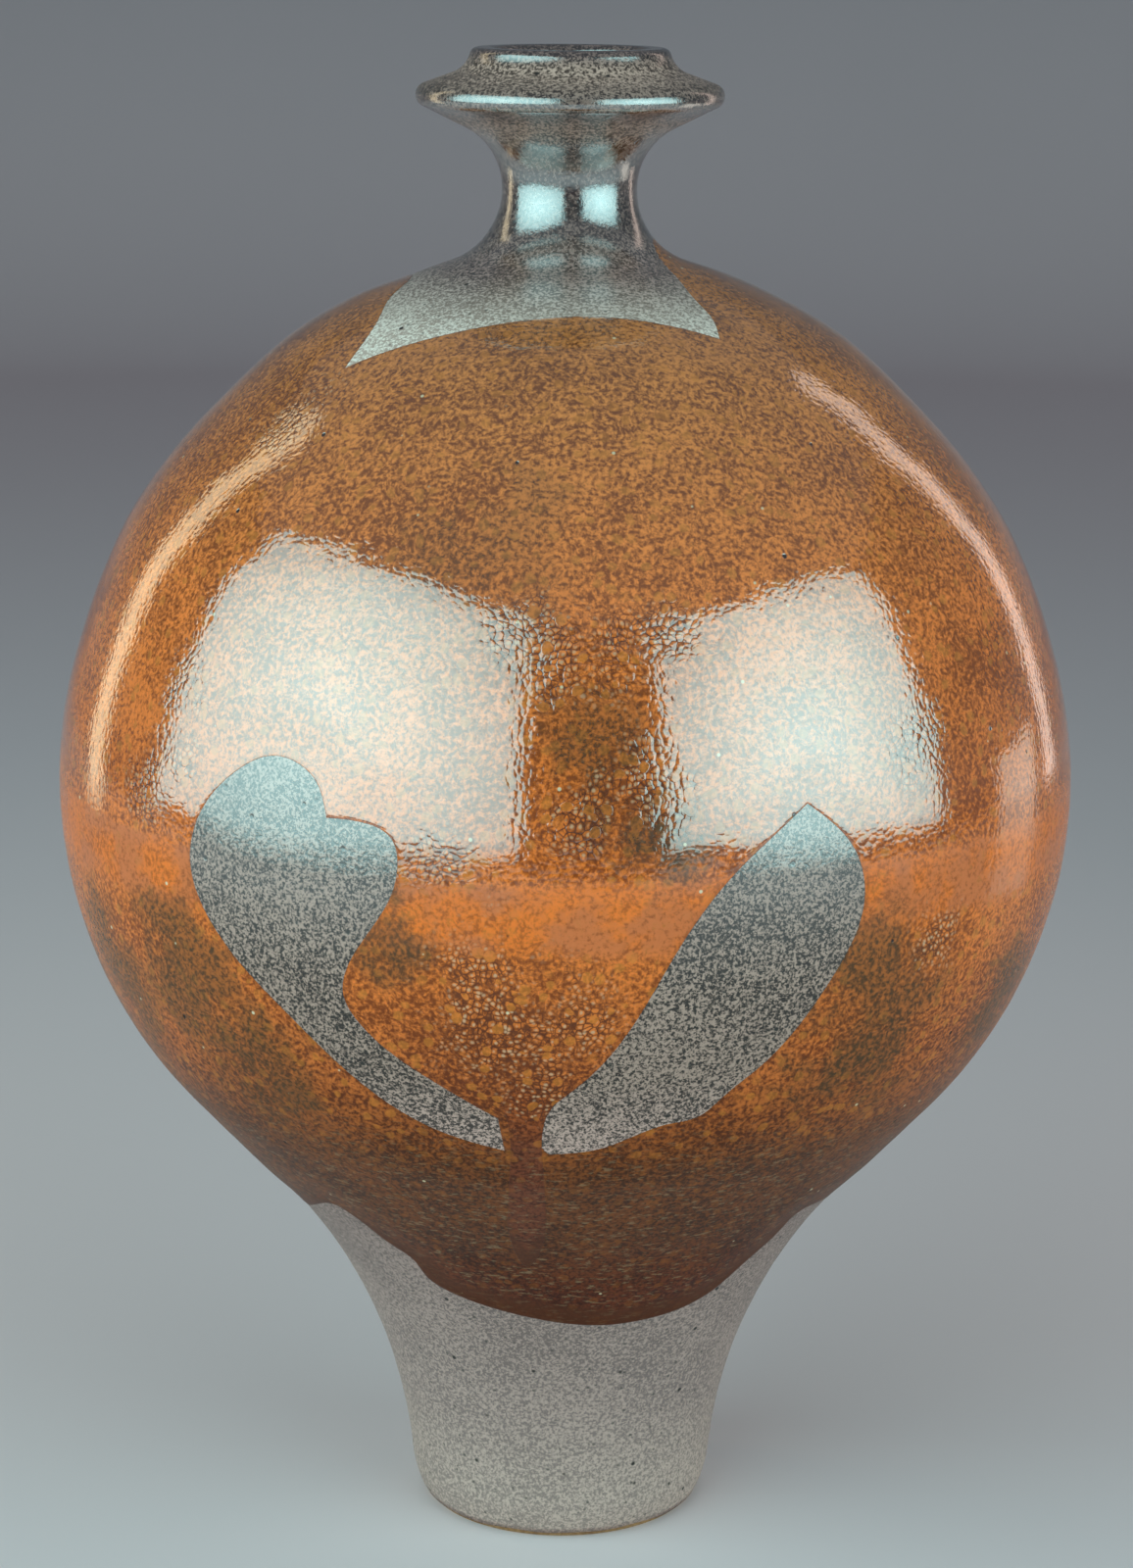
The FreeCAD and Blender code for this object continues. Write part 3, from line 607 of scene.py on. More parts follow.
@dataclass
class PouredCoat:
    """A coat of glaze with free outlines, thick in the middle and drawn down to nothing at its edge.

    It rises by quick_share of its thickness over edge_width and by the rest over slow_width. Rows of points
    follow the outlines, at shares of edge_width, and a field of points fills the rest, so the triangles are
    small where the edge turns and larger where the coat is even.
    """

    name: str
    wall_map: WallMap
    bounds: list[tuple[Loop, bool]]
    thickness: float
    base: float = 0.5
    under: "PouredCoat | None" = None
    edge_width: float = 0.9
    slow_width: float = 13.0
    quick_share: float = 0.13
    row_shares: tuple = (0.12, 0.3, 0.55, 1.0, 1.7, 2.6)
    sparse_from: int = 4
    row_keep: float = 0.93
    spacing: float = 2.1
    ring_share: float = 0.87
    field_gap: float = 0.9
    jitter: tuple = (0.001, 0.1)
    edge_places: np.ndarray = field(init=False)
    after: np.ndarray = field(init=False)
    before: np.ndarray = field(init=False)
    tree: KDTree = field(init=False)

    def __post_init__(self) -> None:
        """Index the outlines, so that the distance to the edge can be asked for."""
        loops = [loop for loop, _ in self.bounds]
        self.edge_places = np.concatenate([self.on_base(loop) for loop in loops])
        sizes = [len(loop) for loop in loops]
        starts = np.cumsum([0] + sizes[:-1])
        self.after, self.before = (
            np.concatenate([start + np.roll(np.arange(size), shift) for start, size in zip(starts, sizes)])
            for shift in (-1, 1))
        self.tree = KDTree(len(self.edge_places))
        for index, place in enumerate(self.edge_places):
            self.tree.insert(place, index)
        self.tree.balance()

    def on_base(self, rows: np.ndarray) -> np.ndarray:
        """Places on the grey coat under rows of angle and length."""
        return self.wall_map.place(rows[:, 0], rows[:, 1], np.full(len(rows), self.base))

    def edge_distance(self, places: np.ndarray) -> np.ndarray:
        """Distance from each place to the nearest outline.

        Args:
            places: rows of x, y and z.

        Returns:
            One distance for each place.
        """
        nearest = np.array([self.tree.find(place)[1] for place in places])
        best = np.full(len(places), np.inf)
        for other in (self.after[nearest], self.before[nearest]):
            start, run = self.edge_places[nearest], self.edge_places[other] - self.edge_places[nearest]
            size = np.maximum(np.einsum("ij,ij->i", run, run), NEVER_ZERO)
            share = np.clip(np.einsum("ij,ij->i", places - start, run) / size, 0, 1)
            best = np.minimum(best, np.linalg.norm(places - start - share[:, None] * run, axis=1))
        return best

    def swell(self, distance: np.ndarray) -> np.ndarray:
        """Thickness at a distance from the edge: a quick rise, then a slow one.

        Args:
            distance: distances from the edge.

        Returns:
            One thickness for each.
        """
        quick = 1 - (1 - np.clip(distance / self.edge_width, 0, 1)) ** 2
        slow = np.clip(distance / self.slow_width, 0, 1)
        slow = slow ** 2 * (3 - 2 * slow)
        return self.thickness * (self.quick_share * quick + (1 - self.quick_share) * slow)

    def floor_lift(self, places: np.ndarray) -> np.ndarray:
        """How far the coat's underside lies proud of the clay.

        Args:
            places: rows of x, y and z on the grey coat.

        Returns:
            One distance for each place.
        """
        if self.under is None:
            return np.full(len(places), self.base)
        return self.base + self.under.swell(self.under.edge_distance(places))

    def edge_rows(self) -> np.ndarray:
        """Rows of places that follow the outlines on the glazed side.

        Returns:
            Rows of angle and length.
        """
        rows = []
        for loop, glaze_within in self.bounds:
            flat = self.wall_map.flat(loop[:, 0], loop[:, 1])
            turning = np.sum(flat[:, 0] * np.roll(flat[:, 1], -1) - np.roll(flat[:, 0], -1) * flat[:, 1])
            side = 1 if (turning > 0) == glaze_within else -1
            radius = self.wall_map.radius(loop[:, 1])
            step = np.roll(loop, -1, axis=0) - np.roll(loop, 1, axis=0)
            across = ((step[:, 0] + math.pi) % FULL_TURN - math.pi) * radius
            size = np.maximum(np.hypot(across, step[:, 1]), NEVER_ZERO)
            for index, share in enumerate(self.row_shares):
                reach = share * self.edge_width * side
                keep = slice(index % 2, None, 1 if index < self.sparse_from else 2)
                moved = np.stack([loop[:, 0] - reach * step[:, 1] / size / radius,
                                  loop[:, 1] + reach * across / size], axis=1)
                rows.append(np.column_stack([moved, np.full(len(loop), abs(reach))])[keep])
        rows = np.concatenate(rows)
        true = self.edge_distance(self.on_base(rows))
        return rows[true > self.row_keep * rows[:, 2], :2]

    def field_rows(self) -> np.ndarray:
        """Evenly spread places between the outlines, in rings round the jar.

        Returns:
            Rows of angle and length.
        """
        lengths = np.concatenate([loop[:, 1] for loop, _ in self.bounds])
        rings = np.arange(lengths.min(), lengths.max(), self.spacing * self.ring_share)
        rows = []
        for index, length in enumerate(rings):
            count = round(FULL_TURN * float(self.wall_map.radius(length)) / self.spacing)
            angle = (np.arange(count) + 0.5 * (index % 2)) / count * FULL_TURN
            rows.append(np.column_stack([angle, np.full(count, length)]))
        rows = np.concatenate(rows)
        rows += RNG.uniform(-1, 1, rows.shape) * self.spacing * self.jitter
        margin = self.edge_width * self.row_shares[-1] + self.field_gap
        return rows[self.edge_distance(self.on_base(rows)) > margin]

    def glazed(self, flat_places: np.ndarray) -> np.ndarray:
        """Whether places on the flat plane lie inside the coat's outlines.

        Args:
            flat_places: rows of two coordinates on that plane.

        Returns:
            True or false for each place.
        """
        kept = np.ones(len(flat_places), bool)
        for loop, glaze_within in self.bounds:
            ring = self.wall_map.flat(loop[:, 0], loop[:, 1])
            low, high = ring.min(0), ring.max(0)
            near = np.all((flat_places >= low) & (flat_places <= high), axis=1)
            x, y = flat_places[near, 0][:, None], flat_places[near, 1][:, None]
            x0, y0 = ring.T
            x1, y1 = np.roll(ring, -1, axis=0).T
            spans = (y0 > y) != (y1 > y)
            with np.errstate(divide="ignore", invalid="ignore"):
                left = x < (x1 - x0) * (y - y0) / (y1 - y0) + x0
            within = np.zeros(len(flat_places), bool)
            within[near] = np.sum(spans & left, axis=1) % 2 == 1
            kept &= within == glaze_within
        return kept

    def build(self) -> bpy.types.Object:
        """Make the coat as one closed solid, its underside on what it was poured over.

        Returns:
            The coat's object.
        """
        edge = np.concatenate([loop for loop, _ in self.bounds])
        rows = np.concatenate([edge, self.edge_rows(), self.field_rows()])
        flat = self.wall_map.flat(rows[:, 0], rows[:, 1])
        links = list(zip(range(len(edge)), self.after.tolist()))
        found = delaunay_2d_cdt([Vector(place) for place in flat], links, [], 0, MERGE_DISTANCE, True)
        corners, _, faces, sources = found[:4]
        flat = np.array([corner[:] for corner in corners])
        angle, length = self.wall_map.unflat(flat)
        source = np.array([came_from[0] if came_from else -1 for came_from in sources])
        known = source >= 0
        angle[known], length[known] = rows[source[known], 0], rows[source[known], 1]
        faces = np.array(faces)
        faces = faces[self.glazed(flat[faces].mean(axis=1))]
        used, faces = np.unique(faces, return_inverse=True)
        faces = faces.reshape(-1, 3)
        angle, length, source = angle[used], length[used], source[used]
        ground = self.on_base(np.column_stack([angle, length]))
        distance = self.edge_distance(ground)
        on_edge = (source >= 0) & (source < len(edge))
        distance[on_edge] = 0
        lift = self.floor_lift(ground)
        top = self.wall_map.place(angle, length, lift + self.swell(distance))
        bottom = self.wall_map.place(angle, length, lift)
        low_index = np.where(on_edge, np.arange(len(top)), len(top) + np.cumsum(~on_edge) - 1)
        first = top[faces[:, 0]]
        outward = np.cross(top[faces[:, 1]] - first, top[faces[:, 2]] - first)
        if np.sum(outward * first * (1, 1, 0)) < 0:
            faces = faces[:, ::-1]
        places = np.concatenate([top, bottom[~on_edge]])
        marks = {"edge_distance": np.concatenate([distance, distance[~on_edge]])}
        faces = faces.tolist() + low_index[faces][:, ::-1].tolist()
        return new_mesh_object(self.name, places, faces, marks)


@dataclass(frozen=True)
class GreyCoat:
    """The ash glaze all over the outside, over the lip and into the throat.

    Its foot line is slightly wavy: each wave has turns round the jar and a phase, and fades up the foot.
    """

    wall: JarWall
    thrown: ThrownSurface
    thickness: float = 0.5
    spacing: float = 1.9
    segments: int = 320
    foot_wave: float = 0.14
    foot_turns: tuple = ((3, 1), (7, 4), (13, 0))
    foot_fade: float = 4.0

    def build(self) -> bpy.types.Object:
        """Make the coat as one closed ring of even thickness.

        Returns:
            The coat's object.
        """
        outside, leans = self.wall.outline(self.thickness, self.spacing)
        inside = self.wall.outline(0, self.spacing * 2)[0][::-1]
        angle = np.arange(self.segments) / self.segments * FULL_TURN
        ripple = self.foot_wave * sum(np.sin(turns * angle + phase) for turns, phase in self.foot_turns)
        rings = []
        for (r, z), (out, up) in zip(outside, leans):
            rise = self.thrown.rise(angle, np.full(self.segments, z))
            wave = ripple * math.exp(-((z - outside[0, 1]) / self.foot_fade) ** 2)
            rings.append((r + out * rise - up * wave, z + up * rise + out * wave))
        rings += [(np.full(self.segments, r), np.full(self.segments, z)) for r, z in inside]
        places = np.concatenate([around(r, angle, z) for r, z in rings])
        faces = []
        for ring in range(len(rings)):
            faces += band(ring * self.segments, (ring + 1) % len(rings) * self.segments, self.segments)
        return new_mesh_object("grey_ash_coat", places, faces, {})


def at(height: float) -> float:
    """Share of the jar's height at so many millimetres."""
    return height / JAR_HEIGHT


def tall(stops: tuple) -> list[tuple]:
    """Stops of a ramp up the jar, from heights in millimetres."""
    return [(at(height), shade) for height, shade in stops]


class Clouds(NamedTuple):
    """A cloudy noise: the size of its features in millimetres, its detail and its roughness."""

    size_mm: float
    detail: float
    rough: float = 0.5


class Dots(NamedTuple):
    """Round dots in some of the cells of a size in millimetres. Strength is the most that a dot gives.

    The rim is the two shares of a cell at which a dot begins and is whole. Few is the span of the cells' own
    random numbers from no dot to a whole one.
    """

    size_mm: float
    rim: tuple[float, float]
    few: tuple[float, float]
    strength: float = 1.0


class FinishTree:
    """A material in the making: its nodes, with short ways to texture, mask and mix them."""

    def __init__(self, title: str, ior: float, gloss_ior: float, gloss_roughness: float) -> None:
        """Open a material and find each point's place in millimetres and its share of the jar's height.

        Args:
            title: the material's name.
            ior: how strongly the body of the glaze reflects.
            gloss_ior: how strongly its glassy skin reflects.
            gloss_roughness: how much that skin blurs what it reflects.
        """
        self.material = bpy.data.materials.new(title)
        self.material.use_nodes = True
        self.tree = self.material.node_tree
        self.shader = self.tree.nodes["Principled BSDF"]
        for socket, value in (("IOR", ior), ("Coat IOR", gloss_ior), ("Coat Roughness", gloss_roughness)):
            plug(self.tree, self.shader, socket, value)
        spot = self.add("TexCoord")
        self.place = self.add("VectorMath", {0: (spot, "Object"), "Scale": MM_PER_METRE}, operation="SCALE")
        split = self.add("SeparateXYZ", {0: self.place})
        self.height = self.add("Math", {0: (split, "Z"), 1: JAR_HEIGHT}, operation="DIVIDE")

    def add(self, kind: str, feeds: dict | None = None, **settings: object) -> Node:
        """Add one node to this material."""
        return add_node(self.tree, kind, feeds, **settings)

    def noise(self, where: object, clouds: Clouds) -> tuple[Node, int]:
        """A cloudy noise over the given places.

        Args:
            where: the places in millimetres.
            clouds: how it looks.

        Returns:
            The noise and the number of its output.
        """
        feeds = {"Vector": where, "Scale": 1 / clouds.size_mm, "Detail": clouds.detail,
                 "Roughness": clouds.rough}
        return self.add("TexNoise", feeds), 0

    def cells(self, where: object, size: float, loose: float = 1.0, feature: str = "F1") -> Node:
        """Cells of so many millimetres, packed more or less loosely."""
        feeds = {"Vector": where, "Scale": 1 / size, "Randomness": loose}
        return self.add("TexVoronoi", feeds, feature=feature)

    def mask(self, source: object, low: float, high: float, tone: Tone = Tone.SMOOTH,
             to: tuple[float, float] = (0.0, 1.0)) -> Node:
        """Bend a number so that low gives nothing and high gives all of it."""
        feeds = {"Value": source, "From Min": low, "From Max": high, "To Min": to[0], "To Max": to[1]}
        return self.add("MapRange", feeds, interpolation_type=tone.value)

    def between(self, source: object, heights: tuple[float, float], tone: Tone = Tone.SMOOTH,
                to: tuple[float, float] = (0.0, 1.0)) -> Node:
        """Bend a share of the jar's height from one height in millimetres to another."""
        low, high = heights
        return self.mask(source, at(low), at(high), tone, to)

    def blend(self, share: object, one: object, other: object) -> tuple[Node, int]:
        """Mix two colours by a share."""
        return self.add("Mix", {0: share, 6: one, 7: other}, data_type="RGBA"), 2

    def sum_of(self, *terms: tuple[object, float]) -> Node:
        """Add numbers, each times its weight.

        Args:
            terms: the numbers, each with its weight.

        Returns:
            The sum.
        """
        total: object = 0.0
        for source, weight in terms:
            total = self.add("Math", {0: source, 1: weight, 2: total}, operation="MULTIPLY_ADD")
        return total

    def times(self, first: object, *others: object) -> Node:
        """Multiply numbers.

        Args:
            first: the first number.
            others: what multiplies it.

        Returns:
            The product.
        """
        for other in others:
            first = self.add("Math", {0: first, 1: other}, operation="MULTIPLY")
        return first

    def stretched(self, factors: tuple[float, float, float]) -> Node:
        """The place, stretched along its axes."""
        return self.add("VectorMath", {0: self.place, 1: factors}, operation="MULTIPLY")

    def by_height(self, stops: tuple) -> tuple[Node, int]:
        """A colour or a number that changes up the jar."""
        return self.add("ValToRGB", {0: self.height}, stops=tall(stops)), 0

    def dots(self, where: object, dots: Dots) -> Node:
        """Round dots over the given places: their strength inside and nothing around them.

        Args:
            where: the places in millimetres.
            dots: how they look.

        Returns:
            Each point's number.
        """
        cells = self.cells(where, dots.size_mm)
        dot = self.mask((cells, "Distance"), *dots.rim)
        return self.times(dot, self.mask((cells, "Color"), *dots.few, to=(0.0, dots.strength)))

    def hand_over(self, feeds: dict, rise: object = None, depth: float = MM,
                  strength: float = 1.0) -> bpy.types.Material:
        """Feed the shader and give the material out.

        Args:
            feeds: what goes into each of the shader's sockets.
            rise: the height of the fine relief, if there is any.
            depth: metres for a rise of one.
            strength: share of the relief that is kept.

        Returns:
            The finished material.
        """
        if rise is not None:
            bump = self.add("Bump", {"Height": rise, "Distance": depth, "Strength": strength})
            skins = ("Normal", "Coat Normal") if "Coat Weight" in feeds else ("Normal",)
            feeds = {**feeds, **dict.fromkeys(skins, bump)}
        for socket, source in feeds.items():
            plug(self.tree, self.shader, socket, source)
        return self.material


@dataclass(frozen=True)
class Finish:
    """What every finish has: a title, and how strongly its body and its glassy skin reflect."""

    title: str
    ior: float = 1.5
    gloss_ior: float = 1.5
    gloss_roughness: float = 0.03

    def start(self) -> FinishTree:
        """Open this finish's material."""
        return FinishTree(self.title, self.ior, self.gloss_ior, self.gloss_roughness)


@dataclass(frozen=True)
class BareStoneware(Finish):
    """Fired stoneware, turned and sponged: a matt tan body with grog and iron specks, bare of glaze."""

    title: str = "fired_stoneware"
    body: str = "b98b5f"
    dark: str = "8f6543"
    speck: str = "3a2a20"
    grog: Clouds = Clouds(0.7, 4.0)
    cloud: Clouds = Clouds(9.0, 3.0)
    mottle_span: tuple = (0.35, 0.65)
    speck_mm: float = 4.5
    speck_rim: tuple = (0.09, 0.05)
    roughness: float = 0.86
    relief_mm: float = 0.12
    relief_share: float = 0.8

    def make(self) -> bpy.types.Material:
        """The clay: grain breaks the flat tan up, and its bump takes any shine off.

        Returns:
            The material.
        """
        mix = self.start()
        grain = mix.noise(mix.place, self.grog)
        cloud = mix.noise(mix.place, self.cloud)
        specks = mix.cells(mix.place, self.speck_mm)
        mottle = mix.mask(mix.sum_of((grain, 0.6), (cloud, 0.4)), *self.mottle_span)
        colour = mix.blend(mottle, self.dark, self.body)
        colour = mix.blend(mix.mask((specks, "Distance"), *self.speck_rim), colour, self.speck)
        feeds = {"Base Color": colour, "Roughness": self.roughness}
        return mix.hand_over(feeds, grain, self.relief_mm * MM, self.relief_share)


@dataclass(frozen=True)
class SlipClay(BareStoneware):
    """The same clay as thick slip: finer and a little darker, wiped smooth along the seams."""

    title: str = "stoneware_slip"
    body: str = "a87c54"
    dark: str = "84603f"
    grog: Clouds = Clouds(0.35, 4.0)


@dataclass(frozen=True)
class LinerGlaze(Finish):
    """A thin iron glaze, poured in and out: dark, wet-looking and slightly streaked."""

    title: str = "iron_liner_glaze"
    body: str = "4a372a"
    dark: str = "2a201b"
    streak: Clouds = Clouds(4.0, 5.0)
    drawn: tuple = (1.0, 1.0, 0.15)
    streak_span: tuple = (0.38, 0.62)
    rough_span: tuple = (0.3, 0.7)
    roughness: tuple = (0.16, 0.3)
    relief_mm: float = 0.05
    relief_share: float = 0.6

    def make(self) -> bpy.types.Material:
        """The liner: streaks run down the inside as the pour drained.

        Returns:
            The material.
        """
        mix = self.start()
        streaks = mix.noise(mix.stretched(self.drawn), self.streak)
        colour = mix.blend(mix.mask(streaks, *self.streak_span), self.dark, self.body)
        feeds = {"Base Color": colour, "Roughness": mix.mask(streaks, *self.rough_span, to=self.roughness)}
        return mix.hand_over(feeds, streaks, self.relief_mm * MM, self.relief_share)


@dataclass(frozen=True)
class GreyAshGlaze(Finish):
    """Ash glaze dipped thin over speckled stoneware and fired in reduction.

    Pale grains of unmelted ash over a dark iron body give the salt-and-pepper grey. Where it is thin, as on
    the foot, it is pale, even and satin. On the waist of the neck and on sharp edges such as the flange's
    edge it is glossy and almost metallic, and its colour there is darkened as painted shade, a painted
    reflection of the dark room. The bare patch round the neck is lightened as painted light on the top of the
    shoulder.
    """

    title: str = "grey_ash_glaze"
    ior: float = 1.4
    gloss_ior: float = 3.0
    gloss_roughness: float = 0.1
    grain: Clouds = Clouds(0.7, 3.0, 0.7)
    fine: Clouds = Clouds(0.4, 1.0)
    cloud: Clouds = Clouds(21.0, 4.0)
    skin: Clouds = Clouds(1.6, 2.0, 0.6)
    speck: Dots = Dots(5.2, (0.13, 0.06), (0.42, 0.5))
    dust: Dots = Dots(2.184, (0.2, 0.1), (0.5, 0.6), 0.7)
    salt_span: tuple = (0.49, 0.64)
    speck_colour: str = "2a2521"
    dust_colour: str = "3a3733"
    # Heights 240 to 252 are lightened as painted light on the bare patch round the neck. Heights 262 to 286
    # and 293 to 297.4 are darkened as painted shade, a painted reflection of the dark room in the glossy
    # waist and flange edge.
    dark_stops_with_painted_light: tuple = (
        (0, "99827a"), (30, "846e6a"), (75, "6e5b56"), (102, "4b3c37"), (122, "2a201c"), (165, "2f2622"),
        (205, "3e302b"), (240, "c3a69b"), (252, "bfa295"), (262, "42332f"), (269, "211816"),
        (286, "1e1513"), (290, "4b3a34"), (293, "261c1a"), (297.4, "281e1b"), (298.4, "493831"),
        (301, "4d3b33"), (304, "1f1615"))
    pale_stops_with_painted_light: tuple = (
        (0, "cdaea1"), (30, "bb9c92"), (75, "ad8f87"), (102, "ddb5a9"), (122, "b08f81"), (165, "af8d80"),
        (205, "bd9a90"), (240, "fff2e4"), (252, "ffecdf"), (262, "b7948b"), (269, "7f665e"),
        (286, "785e56"), (290, "cea797"), (293, "866961"), (297.4, "8a6f64"), (298.4, "d4ad9d"),
        (301, "d5ad9d"), (304, "80635c"))
    rough_stops: tuple = (
        (0, 0.55), (75, 0.5), (104, 0.42), (165, 0.3), (250, 0.36), (262, 0.34), (269, 0.2), (286, 0.2),
        (291, 0.4), (295, 0.22), (298, 0.42), (302, 0.36), (305, 0.2))
    gloss_stops: tuple = (
        (0, 0.0), (110, 0.03), (140, 0.1), (155, 0.38), (163, 0.56), (205, 0.56), (240, 0.15),
        (258, 0.15), (266, 1.0), (287, 1.0), (290.5, 0.25), (293.5, 1.0), (296.5, 0.8), (298, 0.18),
        (302, 0.22), (304, 0.8))

    def make(self) -> bpy.types.Material:
        """The grey: two sizes of grain, clouds, iron specks, and a leathery skin.

        Returns:
            The material.
        """
        mix = self.start()
        sizes = (self.grain, self.fine, self.cloud, self.skin)
        grain, fine, cloud, skin = (mix.noise(mix.place, clouds) for clouds in sizes)
        salt = mix.mask(mix.sum_of((grain, 0.75), (fine, 0.25), (cloud, 0.12)), *self.salt_span)
        colour = mix.blend(salt, mix.by_height(self.dark_stops_with_painted_light), mix.by_height(self.pale_stops_with_painted_light))
        iron = mix.dots(mix.place, self.speck)
        colour = mix.blend(iron, colour, self.speck_colour)
        colour = mix.blend(mix.dots(mix.place, self.dust), colour, self.dust_colour)
        rise = mix.sum_of((grain, 0.035), (skin, 0.04), (iron, -0.05))
        return mix.hand_over({"Base Color": colour, "Roughness": mix.by_height(self.rough_stops),
                              "Coat Weight": mix.by_height(self.gloss_stops)}, rise)


@dataclass(frozen=True)
class AmberGlaze(Finish):
    """Iron amber glaze, poured thick over the grey and fired glossy.

    Bubbles rose through it and left round orange spots and a foam of small domed cells with dark joins; the
    cells' pale eyes are painted highlights of the softboxes' edges. A bright orange band across the belly is
    a painted reflection of a lit strip. The amber runs brown and satin below the windows, and its edges stain
    the grey with a thin red-brown rim. A zone of foam, or of thin olive amber with painted shade, has degrees
    round the jar, a height and a reach. A span holds where a mask begins and where it is whole, and a pair
    whose name ends in _z holds the same in heights.
    """

    title: str = "iron_amber_glaze"
    ior: float = 1.22
    gloss_ior: float = 2.5
    gloss_roughness: float = 0.05
    drift: Clouds = Clouds(6.0, 2.0)
    grain: Clouds = Clouds(0.9, 2.0, 0.6)
    stir: Clouds = Clouds(13.0, 4.0, 0.62)
    pool: Clouds = Clouds(48.0, 3.0)
    fleck: Clouds = Clouds(2.4, 3.0, 0.65)
    skin: Clouds = Clouds(4.5, 2.0)
    spot: Dots = Dots(2.9, (0.42, 0.3), (0.5, 0.6))
    pit: Dots = Dots(10.0, (0.06, 0.035), (0.5, 0.52))
    mote: Dots = Dots(5.0, (0.09, 0.05), (0.66, 0.68), 0.85)
    push_mm: float = 2.4
    cell_mm: float = 1.25
    cell_loose: float = 0.8
    dome_mm: float = 0.03
    mottle_span: tuple = (0.62, 0.99)
    join_span: tuple = (0.16, 0.02)
    # Size of the foam's pale eyes, which are painted highlights.
    eye_highlight_span: tuple = (0.42, 0.12)
    fleck_span: tuple = (0.55, 0.66)
    fleck_drawn: tuple = (1.0, 1.0, 4.0)
    # How the painted reflection band turns from orange to pink.
    lit_band_tint_span: tuple = (0.42, 0.58)
    stain_mm: tuple = (1.9, 1.0)
    stain_stir: float = 1.4
    low_z: tuple = (122, 98)
    thin_z: tuple = (175, 205)
    lit_band_low_z: tuple = (151.5, 156.5)
    # Heights of the bright band, a painted reflection of a lit strip.
    lit_band_high_z: tuple = (167.5, 166)
    rim_z: tuple = (72, 88)
    domed_z: tuple = (96, 112)
    spot_colour: str = "d0782c"
    # Dark olive brown: thin amber, and painted shade on the belly's sides and shoulder.
    olive_and_shade_colour: str = "46331d"
    join_colour: str = "5f2b15"
    # Colour of the foam's pale eyes: a painted highlight.
    eye_highlight_colour: str = "d29f7b"
    # Colours of the bright band, a painted reflection.
    lit_band_orange: str = "ef7324"
    lit_band_pink: str = "cd6a3b"
    fleck_colour: str = "96785a"
    rim_colour: str = "562a14"
    pit_colour: str = "1e110b"
    mote_colour: str = "e2cba6"
    wall_map: WallMap = field(default=None, repr=False)
    zone_spread: float = 1.5
    zone_stir: float = 2.6
    zone_edge: tuple = (1.4, 2.15)
    zone_heart: tuple = (0.0, 0.35)
    # Foam lies in these zones, where the softboxes' edges are reflected; its pale eyes are painted
    # highlights.
    froth_and_highlight_zones: tuple = (
        (-5.6, 133, 17), (-8, 148, 11), (-2, 121, 8), (5, 203, 10), (-1, 201, 9), (10, 203.5, 9),
        (8, 178, 10), (2, 171, 9), (-46.5, 190, 8), (-50, 171, 8), (-46.5, 177, 7), (-12.5, 167, 8),
        (-6, 206, 8), (41, 181, 9), (43, 145, 8), (-51, 238, 10), (150, 190, 20), (-155, 130, 22),
        (110, 200, 16))
    # Partly thin olive amber, and partly painted shade that darkens the belly's sides and the shoulder.
    olive_and_shade_zones: tuple = (
        (-46, 135, 16), (8, 169, 11), (-17.5, 149.5, 9), (3, 188, 10), (-11, 214, 21), (34, 140, 14),
        (-38, 120, 18), (36, 126, 18), (-62, 128, 18), (62, 126, 16), (-75, 118, 16), (170, 150, 22),
        (-120, 210, 20), (100, 140, 20))
    deep_stops: tuple = (
        (53, "3e1508"), (64, "3f1609"), (80, "3a1b0b"), (100, "45200a"), (122, "713112"), (148, "8e3f0f"),
        (165, "903f0e"), (205, "904311"), (240, "7f3d15"), (262, "723d16"))
    glow_stops: tuple = (
        (53, "682b14"), (64, "6f3217"), (80, "763c19"), (100, "89471c"), (122, "d97031"), (148, "ef792e"),
        (165, "f3782a"), (205, "ff8336"), (240, "eb873f"), (262, "d47f40"))
    rough_stops: tuple = ((53, 0.42), (98, 0.36), (125, 0.28), (150, 0.2), (262, 0.2))
    gloss_stops: tuple = ((53, 0.0), (110, 0.03), (157, 0.15), (165, 0.6), (169, 1.0), (262, 1.0))

    def near(self, mix: FinishTree, stir: tuple, zones: tuple) -> Node:
        """How deep a place lies in any of the zones, with ragged edges.

        Args:
            mix: the material in the making.
            stir: a noise that roughens the zones' edges.
            zones: degrees round the jar, height and reach of each zone.

        Returns:
            Nothing outside the zones and one well inside them.
        """
        best: object = 0.0
        for degrees, height, reach in zones:
            middle = tuple(self.wall_map.at_height(math.radians(degrees), height))
            gap = mix.add("VectorMath", {0: mix.place, 1: middle}, operation="DISTANCE")
            feeds = {0: (gap, "Value"), 1: -1 / (self.zone_spread * reach), 2: 1.0}
            depth = mix.add("Math", feeds, operation="MULTIPLY_ADD")
            best = mix.add("Math", {0: depth, 1: best}, operation="MAXIMUM")
        ragged = mix.sum_of((best, 1.0), (stir, self.zone_stir))
        return mix.times(mix.mask(ragged, *self.zone_edge), mix.mask(best, *self.zone_heart))

